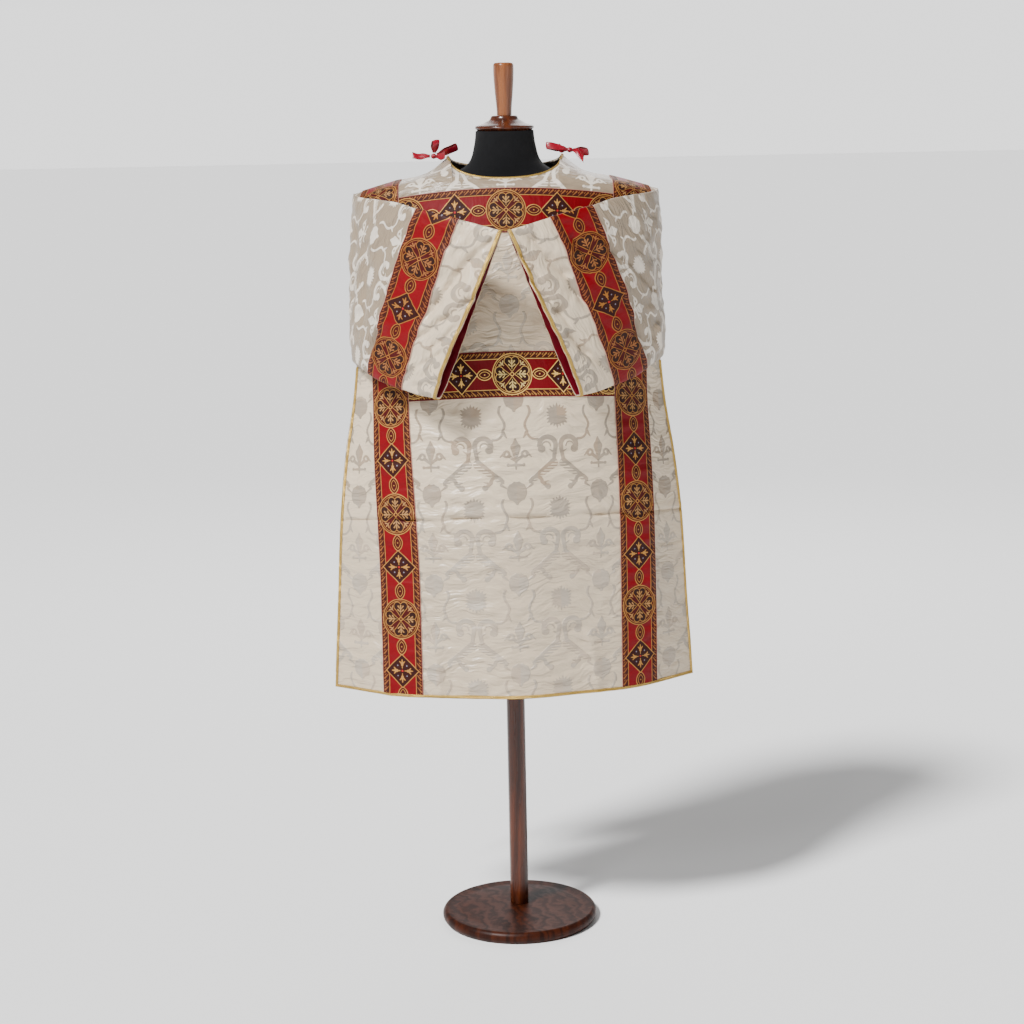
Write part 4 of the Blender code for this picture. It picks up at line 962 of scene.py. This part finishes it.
for panel, name in ((front, "front"), (back, "back")):
    for side, word in ((-1, "right"), (1, "left")):
        ends = sorted((panel.column(side * BAND_INNER), panel.column(side * BAND_OUTER)))
        middle = side * (BAND_INNER + BAND_OUTER) / 2
        ring_down = CLAVUS_RING_DOWN[f"{name}_{word}"]
        panel_band(f"clavus_{name}_{word}", panel, slice(0, len(panel.points) - 1),
                   slice(ends[0], ends[1] + 1),
                   lambda a, d: placed(a - middle, (d - ring_down) * CLAVUS_EASE), clavus_orphrey,
                   foot=SEAM_GAP)
    for word, level, material in (("chest", 0, chest_orphrey), ("waist", WAIST_LEVEL, waist_orphrey)):
        top, foot = panel.row(level), panel.row(level + 1)
        middle = (panel.down[top, 0] + panel.down[foot, 0]) / 2
        panel_band(f"band_{name}_{word}", panel, slice(top, foot + 1),
                   slice(panel.column(-BAND_INNER), panel.column(BAND_INNER) + 1),
                   lambda a, d: placed(d - middle, a * CROSS_EASE), material, sides=SEAM_GAP)

# ------------------------------------------------------------------ gold braid on the panels
# Flat gilt braid, 6 mm wide, made of two cords side by side.  It binds the neckline, the open
# sides and the hem, and is sewn on the face of the damask along its very edge.
BRAID_WALL = 0.0020
BRAID_RISE = SEAM_GAP + BRAID_WALL * np.array([0.25, 0.80, 1.00, 0.62, 1.00, 0.80, 0.25])   # across it
BRAID_ACROSS = np.linspace(0, BRAID_WIDTH, len(BRAID_RISE))
BRAID_STEP = 0.004


def gold_braid():
    """Gilt thread plaited over two cords: slanting turns, with a painted highlight on top of each turn and
    painted shade, brown, in the furrows.
    """
    material, tree, shader = new_material("gilt_braid", 0.36, 0.7)
    at = cut_place(tree)
    x, y, z = at.split()
    lean = (x - BRAID_WIDTH * 500).math("SIGN")
    turns = ((y + (x * lean) * 0.9) * (2 * math.pi / 1.9)).sine() * 0.5 + 0.5
    worn = clouds(at, 0.11, 3.0)
    # painted highlight and shade: the colour follows the turns' relief, bright on top and brown in the
    # furrows; the wear noise lightens it at random
    colour = blended(turns * 0.75 + worn * 0.3, (0.120, 0.060, 0.009), (0.74, 0.49, 0.12))
    feed(shader, colour, worn * 0.25 + 0.26, height=turns * 0.00022)
    return material


braid_gilt = gold_braid()


def panel_braid(node, panel, across, down, facing):
    """A braid over flat places of a panel (rows along it, columns across it)."""
    outer = panel.raised(across, down, BRAID_RISE)
    cloth(node, f"gilt_{node}", braid_gilt, "gold_braid", outer, panel.raised(across, down, SEAM_GAP),
          placed(BRAID_ACROSS, run_along(outer[:, 3])[:, None]), facing)


for panel, name in ((front, "front"), (back, "back")):
    # round the neckline, square out of the superellipse by its gradient
    turn = np.linspace(-np.pi / 2, np.pi / 2, 141)[:, None]
    edge_a = NECK_HALF_CUT * np.sign(turn) * np.abs(np.sin(turn))**(2 / NECK_ROUND)
    edge_d = panel.neck_drop * np.abs(np.cos(turn))**(2 / NECK_ROUND)
    out_a = np.abs(edge_a / NECK_HALF_CUT)**(NECK_ROUND - 1) / NECK_HALF_CUT * np.sign(edge_a)
    out_d = (edge_d / panel.neck_drop)**(NECK_ROUND - 1) / panel.neck_drop
    out = BRAID_ACROSS / np.hypot(out_a, out_d)
    panel_braid(f"braid_neck_{name}", panel, edge_a + out * out_a, edge_d + out * out_d, -panel.facing)
    # down one open side, along the hem and up the other
    foot = panel.downs[-1]
    side_line = evenly(np.array([panel.downs[WAIST_LEVEL] + 0.010, foot]), BRAID_STEP)[:-1, None]
    hem_line = evenly(np.array([-1.0, 1.0]), BRAID_STEP / EDGE_CUT)[:, None]
    inset = EDGE_CUT - BRAID_ACROSS
    down_side = np.minimum(side_line, foot - BRAID_ACROSS)
    across = np.concatenate([-inset + 0 * side_line, hem_line * inset, inset + 0 * side_line])
    down = np.concatenate([down_side, foot - BRAID_ACROSS + 0 * hem_line, down_side[::-1]])
    panel_braid(f"braid_hem_{name}", panel, across, down, panel.facing)

# ------------------------------------------------------------------ sleeves of silk damask
# Each sleeve is a wide tube of the same damask, sewn to the side edges of front and back down to
# the underarm and folded flat by hanging, so that an outer layer lies in front of an inner one.
# A ring runs round the tube from the lower fold, up the inner layer and down the outer one.
SLEEVE_SIDES = (0.277, 0.283)         # half widths at the upper and the lower fold
SLEEVE_REACHES = (0.200, 0.218)       # from the side line forward to the cuff
SLEEVE_SHIFT = -0.003
SLEEVE_CENTRE_Y = -0.075
SLEEVE_ROUND = 1.42
CUFF_TOP_START, CUFF_FOOT_START, CUFF_SLANT = 0.0045, 0.130, 1.085
SLEEVE_BAND_START = 0.072
MOUTH_BACK, MOUTH_FORTH, MOUTH_OPEN = 0.005, 0.001, 0.18
MOUTH_OPEN_FROM, MOUTH_OPEN_OVER, MOUTH_FADE = 0.40, 0.40, 0.10
SWELL_POWER = 0.4
UNDERARM_SAG, ARMHOLE_GAP = 0.004, 0.0012
SEAM_SHARE = 0.97
HALF_GAP_CUFF, HALF_GAP_SIDE = 0.012, 0.0075
SEAM_BLEND_START = 0.65
RING_CELLS = 104                      # on one layer, from fold to fold
UPPER_SLEEVE = 0.394                  # from the band's end to the armhole
SLEEVE_FOLDS = np.array([             # across, heights of the upper and lower folded edge
    (0.000, 1.354, 1.058), (0.080, 1.375, 1.059), (0.120, 1.384, 1.061), (0.155, 1.392, 1.065),
    (0.190, 1.402, 1.074), (0.225, 1.406, 1.084), (0.255, 1.408, 1.098), (0.287, 1.4125, 1.112)])
# Troughs of the outer layer, in millimetres of plan distance and height: both ends, half width,
# depth.  Narrow ones lie in the wide ones, where the cloth has creased.
SLEEVE_TROUGHS = {
    -1: np.array([
        (23, 1335, 164, 1205, 20, 1.6), (114, 1185, 195, 1118, 16, 0.8), (16, 1344, 66, 1306, 5.1, 2.8),
        (53, 1318, 112, 1252, 5.5, 3.4), (99, 1266, 153, 1200, 5.1, 3), (79, 1196, 151, 1140, 5.1, 2.4),
        (114, 1147, 199, 1100, 3.8, 2), (64, 1262, 88, 1214, 7, -1.6), (70, 1345, 133, 1300, 12, -1.3),
        (121, 1092, 187, 1078, 4.3, 1.4), (244, 1395, 278, 1290, 13, -1.6), (292, 1330, 307, 1180, 12, 1.8),
        (331, 1380, 354, 1200, 14, 2), (53, 1242, 121, 1198, 5.1, 2.6), (112, 1206, 167, 1166, 5.1, 2.4),
        (75, 1352, 106, 1324, 5.1, 2), (139, 1128, 164, 1092, 4.7, 2.2),
        (261, 1180, 292, 1120, 5.9, 2.4)]) / 1000,
    1: np.array([
        (31, 1345, 136, 1245, 20, 1.6), (80, 1235, 147, 1150, 16, 1), (331, 1330, 372, 1190, 30, 2.6),
        (12, 1353, 59, 1338, 4.7, 2.2), (48, 1345, 86, 1300, 5.1, 3.2), (77, 1310, 117, 1270, 5.5, 3.4),
        (106, 1284, 146, 1222, 5.1, 3), (40, 1272, 81, 1228, 5.1, 2.6), (86, 1224, 115, 1186, 5.1, 2.2),
        (61, 1352, 128, 1306, 12, -1.3), (128, 1150, 187, 1110, 5.1, 1.8), (199, 1316, 274, 1272, 6.8, 2.6),
        (263, 1280, 321, 1230, 6.8, 2.4), (256, 1385, 292, 1330, 12, -1.4), (317, 1170, 331, 1120, 10, -3),
        (23, 1316, 66, 1268, 5.1, 2.2), (108, 1178, 153, 1128, 5.1, 2.6), (119, 1344, 153, 1300, 5.9, 2),
        (251, 1190, 292, 1118, 5.9, 2.6)]) / 1000}
CREASED, CREASE_LIMIT = 4.2, 0.019    # how much deeper the cloth creases than its broad form
YIELDS_TO_CREASE, YIELDS_TO_PUCKER = -0.40, -0.7    # the inner layer's share
RING_AT = {-1: (0.0870, 0.147), 1: (0.0805, 0.135)}    # of a band's ring, of the damask's rosettes
SLEEVE_FIGURE_TOP = 0.245


def mixed(limits, share):
    """The first limit where share is 0, the second where it is 1."""
    return limits[0] + (limits[1] - limits[0]) * share


def plan_line(along, height):
    """Plan point, outward normal and curved length at a distance along the sleeve's plan line:
    x = side sin(turn)^(2/n), y = centre - reach cos(turn)^(2/n), then straight back."""
    turn = np.linspace(0.0, np.pi / 2, 241)
    over, ahead = (np.clip(line, 0, 1)**(2 / SLEEVE_ROUND) for line in (np.sin(turn), np.cos(turn)))
    arc = run_along(placed(np.mean(SLEEVE_SIDES) * over, np.mean(SLEEVE_REACHES) * ahead))
    low = np.clip((SLEEVE_FOLDS[0, 1] - height) / (SLEEVE_FOLDS[0, 1] - SLEEVE_FOLDS[0, 2]), 0, 1)
    side, reach = mixed(SLEEVE_SIDES, low), mixed(SLEEVE_REACHES, low)
    x = side * np.interp(along, arc, over)
    y = SLEEVE_CENTRE_Y - reach * np.interp(along, arc, ahead) + np.maximum(along - arc[-1], 0.0)
    step = 0.004
    x_run = side * (np.interp(along + step, arc, over) - np.interp(along - step, arc, over))
    y_run = -reach * (np.interp(along + step, arc, ahead) - np.interp(along - step, arc, ahead))
    y_run = y_run + np.clip(along + step - arc[-1], 0.0, 2 * step)
    return x, y, unit(placed(y_run, -x_run)), arc[-1]


def fold_height(along, kind):
    """Height of the upper (1) or lower (2) folded edge at a distance along the plan line."""
    x = plan_line(along, np.full_like(along, SLEEVE_FOLDS[0, 1]))[0]
    return through(SLEEVE_FOLDS[:, 0], SLEEVE_FOLDS[:, kind], x)


class Sleeve:
    """One sleeve: its grid of points from cuff to armhole, its cut, and directions out."""

    def __init__(self, side):
        self.side = side
        phi = np.pi + np.linspace(0, 2 * np.pi, 2 * RING_CELLS, endpoint=False)
        self.share = (1 - np.cos(phi)) / 2
        self.layer = np.sign(np.round(np.sin(phi), 9))
        edges = np.array([0.0, BRAID_WIDTH, SLEEVE_BAND_START, SLEEVE_BAND_START + BAND_WIDTH])
        cuff = evenly(edges, BRAID_STEP)
        self.rows = [int(np.argmin(np.abs(cuff - edge))) for edge in edges]
        upper = np.linspace(0, 1, math.ceil(UPPER_SLEEVE / BRAID_STEP) + 1)[1:]
        self.from_cuff = np.concatenate([cuff, np.full(len(upper), edges[-1])])[:, None]
        self.on = np.concatenate([0 * cuff, upper])[:, None]
        self.run = self.from_cuff + self.on * UPPER_SLEEVE
        self.points = self.hung(self.armhole())
        self.arc = run_along(np.concatenate([self.points, self.points[:, :1]], axis=1), 1)
        self.arc -= self.arc[:, RING_CELLS:RING_CELLS + 1]
        round_it = np.roll(self.points, -1, axis=1) - np.roll(self.points, 1, axis=1)
        self.way = unit(np.cross(np.gradient(self.points, axis=0), round_it) * -side)

    def lean(self, rows):
        """How far the rings lean from square to the run: the cosine of the angle between them."""
        grid = np.concatenate([self.points[rows], self.points[rows][:, :1]], axis=1)
        cosine = unit(np.gradient(grid, axis=0)) * unit(np.gradient(grid, axis=1))
        cosine = np.mean(np.sum(cosine, axis=-1), axis=0)
        cosine[0] = cosine[-1] = (cosine[1] + cosine[-2]) / 2
        return -np.convolve(np.pad(cosine, 4, mode="wrap"), np.full(9, 1 / 9), mode="valid")

    def armhole(self):
        """The panels' side edges, moved out by the seam's gap, closed below by a sagging fold."""
        column, inward = (-1, -2) if self.side > 0 else (0, 1)
        last = front.row(WAIST_LEVEL)
        lines = {}
        for layer, panel in ((1, back), (-1, front)):
            edge = panel.points[:last + 1, column]
            edge = edge + unit(edge - panel.points[:last + 1, inward]) * ARMHOLE_GAP
            at = np.clip(self.share / SEAM_SHARE, 0, 1) * panel.down[last, column]
            lines[layer] = read_off(at, panel.down[:last + 1, column], edge)
        foot = (lines[1][0] + lines[-1][0]) / 2 - np.array([0.0, 0.0, UNDERARM_SAG])
        ring = np.where(self.layer[:, None] > 0, lines[1], lines[-1])
        below = np.clip((self.share - SEAM_SHARE) / (1 - SEAM_SHARE), 0, 1)[:, None]
        ring = ring + (foot - ring) * below**2
        ring[RING_CELLS] = (lines[1][RING_CELLS] + lines[-1][RING_CELLS]) / 2
        return ring

    def hung(self, seam):
        """Each ring leans with the cuff and opens as 4 s (1 - s) to a power; towards the armhole
        it changes smoothly into the seam's own ring."""
        share, layer, from_cuff, on = self.share[None], self.layer[None], self.from_cuff, self.on
        side_arc = plan_line(np.zeros(1), np.zeros(1))[3]
        swell = (4 * share * (1 - share))**SWELL_POWER
        opened = smooth_step((share - MOUTH_OPEN_FROM) / MOUTH_OPEN_OVER)
        near = 1 - smooth_step((from_cuff * CUFF_SLANT + on * side_arc) / MOUTH_FADE)
        along = (mixed((CUFF_TOP_START, CUFF_FOOT_START), share) + from_cuff * CUFF_SLANT
                 + np.where(layer > 0, MOUTH_BACK, -MOUTH_FORTH * (layer < 0)) * opened * near)
        along = mixed((along, side_arc + seam[:, 1] - SLEEVE_CENTRE_Y), on)
        z = mixed((fold_height(along[:, RING_CELLS:RING_CELLS + 1], 1), fold_height(along[:, :1], 2)), share)
        x, y, normal, _ = plan_line(along, z)
        gap = mixed((HALF_GAP_CUFF, HALF_GAP_SIDE), on) * (1 + near * MOUTH_OPEN * opened)
        troughs = soft_folds(SLEEVE_TROUGHS[self.side], along, z)
        sunk = CREASE_LIMIT * np.tanh(CREASED / CREASE_LIMIT * troughs)
        gap = gap - np.where(layer > 0, 1.0, YIELDS_TO_CREASE) * sunk
        gap = (gap + np.where(layer > 0, 1.0, YIELDS_TO_PUCKER) * self.puckers(along, z)) * swell * layer
        x = self.side * (x + normal[..., 0] * gap) + SLEEVE_SHIFT * (1 - on)
        ring = placed(x, y + normal[..., 1] * gap, z)
        return mixed((ring, seam), between(on, (SEAM_BLEND_START, 1))[..., None])

    def puckers(self, along, z):
        """Shallow waves that lean with the troughs, uneven along the sleeve: broad and fine ones."""
        lean = z * 150.0 + along * 85.0 + 1.9 * np.sin(along * 29.0 + self.side) + 1.2 * np.sin(z * 37.0)
        broad = z * 95.0 - along * 60.0 + 1.6 * np.sin(along * 21.0 + 2.0 * self.side)
        fine = z * 330.0 + along * 150.0 + 2.4 * np.sin(along * 33.0) + 1.9 * np.sin(z * 51.0)
        return (0.0016 * np.sin(lean) * np.sin(along * 27.0 - z * 19.0)
                + 0.0010 * np.sin(broad) * np.sin(along * 47.0)
                + 0.0006 * np.sin(fine) * np.sin(along * 61.0 - z * 43.0))

    def tube(self, node, name, material, slot, rows, high, low, cut, **values):
        """Cloth round the sleeve, from high down to low above the damask's outer face."""
        points, way = self.points[rows], self.way[rows]
        outer, inner = points + high * way, points + low * way
        cloth(node, name, material, slot, outer, inner, cut, self.side, True, **values)


sleeves = {}
for side, word in ((-1, "right"), (1, "left")):
    sleeve = sleeves[word] = Sleeve(side)
    ring_centre, rosette_at = RING_AT[side]
    # painted sheen: from the band to the armhole the sleeve gets the taupe ground and cream figure; between
    # the cuff and the band its figure is painted a little paler
    flipped = smooth_step((sleeve.run - SLEEVE_BAND_START) / 0.04) + 0 * sleeve.arc[:, :-1]
    sleeve.tube(f"sleeve_{word}", f"sleeve_{word}_damask", ivory, "damask", slice(None), 0.0, -CLOTH_WALL,
                placed(sleeve.arc - rosette_at, SLEEVE_FIGURE_TOP - sleeve.run),
                flip=flipped, calm=0.10 * (1 - flipped))
    # the band round the sleeve
    rows = slice(sleeve.rows[2], sleeve.rows[3] + 1)
    across = SLEEVE_BAND_START + BAND_WIDTH / 2 - sleeve.run[rows]
    sleeve.tube(f"band_sleeve_{word}", f"orphrey_sleeve_{word}", slant_orphrey, "orphrey", rows,
                SEAM_GAP + BAND_WALL, SEAM_GAP,
                placed(across, sleeve.arc[rows] - ring_centre + across * sleeve.lean(rows)))

# ------------------------------------------------------------------ cuff linings
# The mouth of each sleeve is faced inside with crimson silk satin, from the braid at the edge to
# the band's seam; the rest of the lining is quilted to the damask and counts as its wall.
LINING_WALL = 0.0010


def crimson_satin():
    """Smooth satin with long floats, fine threads across; its sheen is painted: bright and dark along the
    puckers, with the slub yarn's own tone.
    """
    material, tree, shader, at, hand = silk("crimson_satin", 0.30, Sheen_Weight=0.2, Sheen_Roughness=0.3,
                                            Anisotropic=0.5)
    # painted sheen and shade along the puckers, with the slub yarn's own tone
    pucker_shade_and_slub = (hand["Pucker"] * 0.5 + hand["Slub"] * 0.3 + 0.25).clamped()
    colour = blended(pucker_shade_and_slub, (0.035, 0.0004, 0.003), (0.150, 0.0015, 0.009))
    height = hand["Pucker"] * 0.0008 + hand["Thread"] * 0.00001
    feed(shader, colour, hand["Slub"] * 0.14 + 0.24, height=height)
    return material


satin = crimson_satin()
for word, sleeve in sleeves.items():
    rows = slice(sleeve.rows[0], sleeve.rows[2] + 1)
    inside = -CLOTH_WALL - SEAM_GAP
    sleeve.tube(f"lining_{word}", f"satin_lining_{word}", satin, "crimson_lining", rows,
                inside, inside - LINING_WALL, placed(sleeve.arc[rows], -sleeve.run[rows]))
    # the braid of the cuff, on its first rows
    run = sleeve.run[:sleeve.rows[1] + 1, 0]
    points, way = (read_off(BRAID_ACROSS, run, grid[:len(run)].reshape(len(run), -1))
                   .reshape(len(BRAID_ACROSS), -1, 3) for grid in (sleeve.points, sleeve.way))
    way = unit(way)
    cloth(f"braid_cuff_{word}", f"gilt_braid_cuff_{word}", braid_gilt, "gold_braid",
          points + BRAID_RISE[:, None, None] * way, points + SEAM_GAP * way,
          placed(BRAID_ACROSS[:, None], sleeve.arc[:1]), sleeve.side, True)

# ------------------------------------------------------------------ ribbon bows
# A red satin ribbon is sewn to front and back at each shoulder slit and tied in a bow: a knot, two
# loops and two tails.  Every piece stops just short of the knot that holds it.
RIBBON_WIDTH = 0.013
RIBBON_WALL = 0.0010
RIBBON_PINCH = 0.45
RIBBON_TURN = math.radians(65)
KNOT_HALF = (0.0055, 0.0065, 0.0050)
KNOT_CLEAR = KNOT_HALF[0] + 0.0012
LOOP_ROUND = 0.6
TAIL_NOTCH = 0.0035
BACK_TO_FRONT = np.array([0.0, 1.0, 0.0])
UP = np.array([0.0, 0.0, 1.0])
BOWS = {  # knot; loops: length, lift, height; tails: across, forward, up
    "right": ((-0.131, 0.004, 1.4750), ((0.003, 0.022, 0.006), (0.037, 0.014, 0.005)),
              ((-0.033, 0.000, 0.001), (0.017, 0.020, 0.002))),
    "left": ((0.119, 0.004, 1.4820), ((-0.036, 0.007, 0.004), (0.027, -0.003, 0.005)),
             ((0.020, 0.022, -0.018), (-0.017, -0.020, 0.004))),
}


def red_ribbon():
    """Narrow double-faced satin: warp threads along it, a firm woven edge."""
    material, tree, shader, at, hand = silk("red_ribbon", 0.32, Sheen_Weight=0.2, Sheen_Roughness=0.3)
    selvedge = (abs(at.split()[0]) - (RIBBON_WIDTH * 500 - 0.7)).math("MULTIPLY", 3.0, clamp=True)
    # painted sheen and shade along the puckers, with the slub yarn's own tone
    pucker_shade_and_slub = (hand["Slub"] * 0.6 + hand["Pucker"] * 0.5 - 0.05).clamped()
    colour = blended(pucker_shade_and_slub, (0.10, 0.0006, 0.006), (0.36, 0.003, 0.020))
    feed(shader, blended(selvedge, colour, (0.12, 0.001, 0.003)), selvedge * 0.2 + 0.28,
         height=hand["Thread"] * 0.00002 + hand["Slub"] * 0.00015)
    return material


red = red_ribbon()


def ribbon(node, line, broad, notch):
    """A ribbon along a line, pinched at the knot and cupped; it flutters and curls a little."""
    name = node.replace("bow", "ribbon")
    length = run_along(line)
    far = np.linalg.norm(line - line[0], axis=1)
    far = far / far.max()
    half = RIBBON_WIDTH / 2 * (RIBBON_PINCH + (1 - RIBBON_PINCH) * smooth_step(2 * far))
    thin = unit(np.cross(np.gradient(line, axis=0), broad))
    curl = 0.30 * np.sin(length * 80.0 + len(name)) * smooth_step(far)
    broad = broad * np.cos(curl)[:, None] + thin * np.sin(curl)[:, None]
    s = np.linspace(-1, 1, 9)[None, :, None]
    pleats = (1 - smooth_step(1.6 * far))[:, None, None]
    flutter = 0.0003 * np.sin(length * 300.0)[:, None, None]
    cup = 0.0010 * (1 - s**2) + 0.0007 * pleats * np.cos(7.0 * s) + flutter * s
    points = line[:, None] + s * half[:, None, None] * broad[:, None] + cup * thin[:, None]
    points[-1] -= notch * (1 - np.abs(s[0])) * unit(line[-1] - line[-2])
    way = unit(np.cross(np.gradient(points, axis=0), np.gradient(points, axis=1))) * RIBBON_WALL / 2
    cloth(node, name, red, "ribbon", points + way, points - way,
          placed(s[0, :, 0] * RIBBON_WIDTH / 2, length[:, None]), -1)


for word, (knot, loops, tails) in BOWS.items():
    pleated = [(math.sqrt(1 - t * t) * (1 + 0.07 * math.cos(9 * t)), -t) for t in np.linspace(-1, 1, 15)]
    ball = turned(f"ribbon_knot_{word}", [(0.0, 1.0)] + pleated[1:-1] + [(0.0, -1.0)], 28)
    ball.data.transform(Matrix.Translation(knot) @ Matrix.Diagonal((*KNOT_HALF, 1.0))
                        @ Matrix.Rotation(math.radians(90), 4, "Y"))
    cloths[f"bow_{word}_knot"] = dress(ball, red, f"bow_{word}_knot")
    for index, (reach_x, lift, height) in enumerate(loops, start=1):
        turn = np.linspace(0.12, 2 * np.pi - 0.12, 56)[:, None]
        out = (1 - np.cos(turn)) / 2
        way = np.array([reach_x, 0.0, lift])
        across = unit(np.array([-lift, 0.0, reach_x]))
        opened = across * math.cos(RIBBON_TURN) + BACK_TO_FRONT * math.sin(RIBBON_TURN)
        broad = BACK_TO_FRONT * math.cos(RIBBON_TURN) - across * math.sin(RIBBON_TURN)
        line = knot + KNOT_CLEAR * unit(way) + out * way + np.sin(turn) * out**LOOP_ROUND * height * opened
        ribbon(f"bow_{word}_loop_{index}", line, broad, 0.0)
    for index, (reach_x, forward, up) in enumerate(tails, start=1):
        t = np.linspace(0, 1, 30)[:, None]
        way = np.array([reach_x, -forward, 0.0])
        wave = np.sin(t * 2.6 * np.pi) * t * 0.0014
        line = knot + KNOT_CLEAR * unit(way) + t * way + (t**2 * up + wave) * UP
        broad = unit(np.cross(way, np.cross(way, BACK_TO_FRONT + 2 * UP)))
        ribbon(f"bow_{word}_tail_{index}", line, broad, TAIL_NOTCH)


for word in BOWS:
    knot = f"bow_{word}_knot"
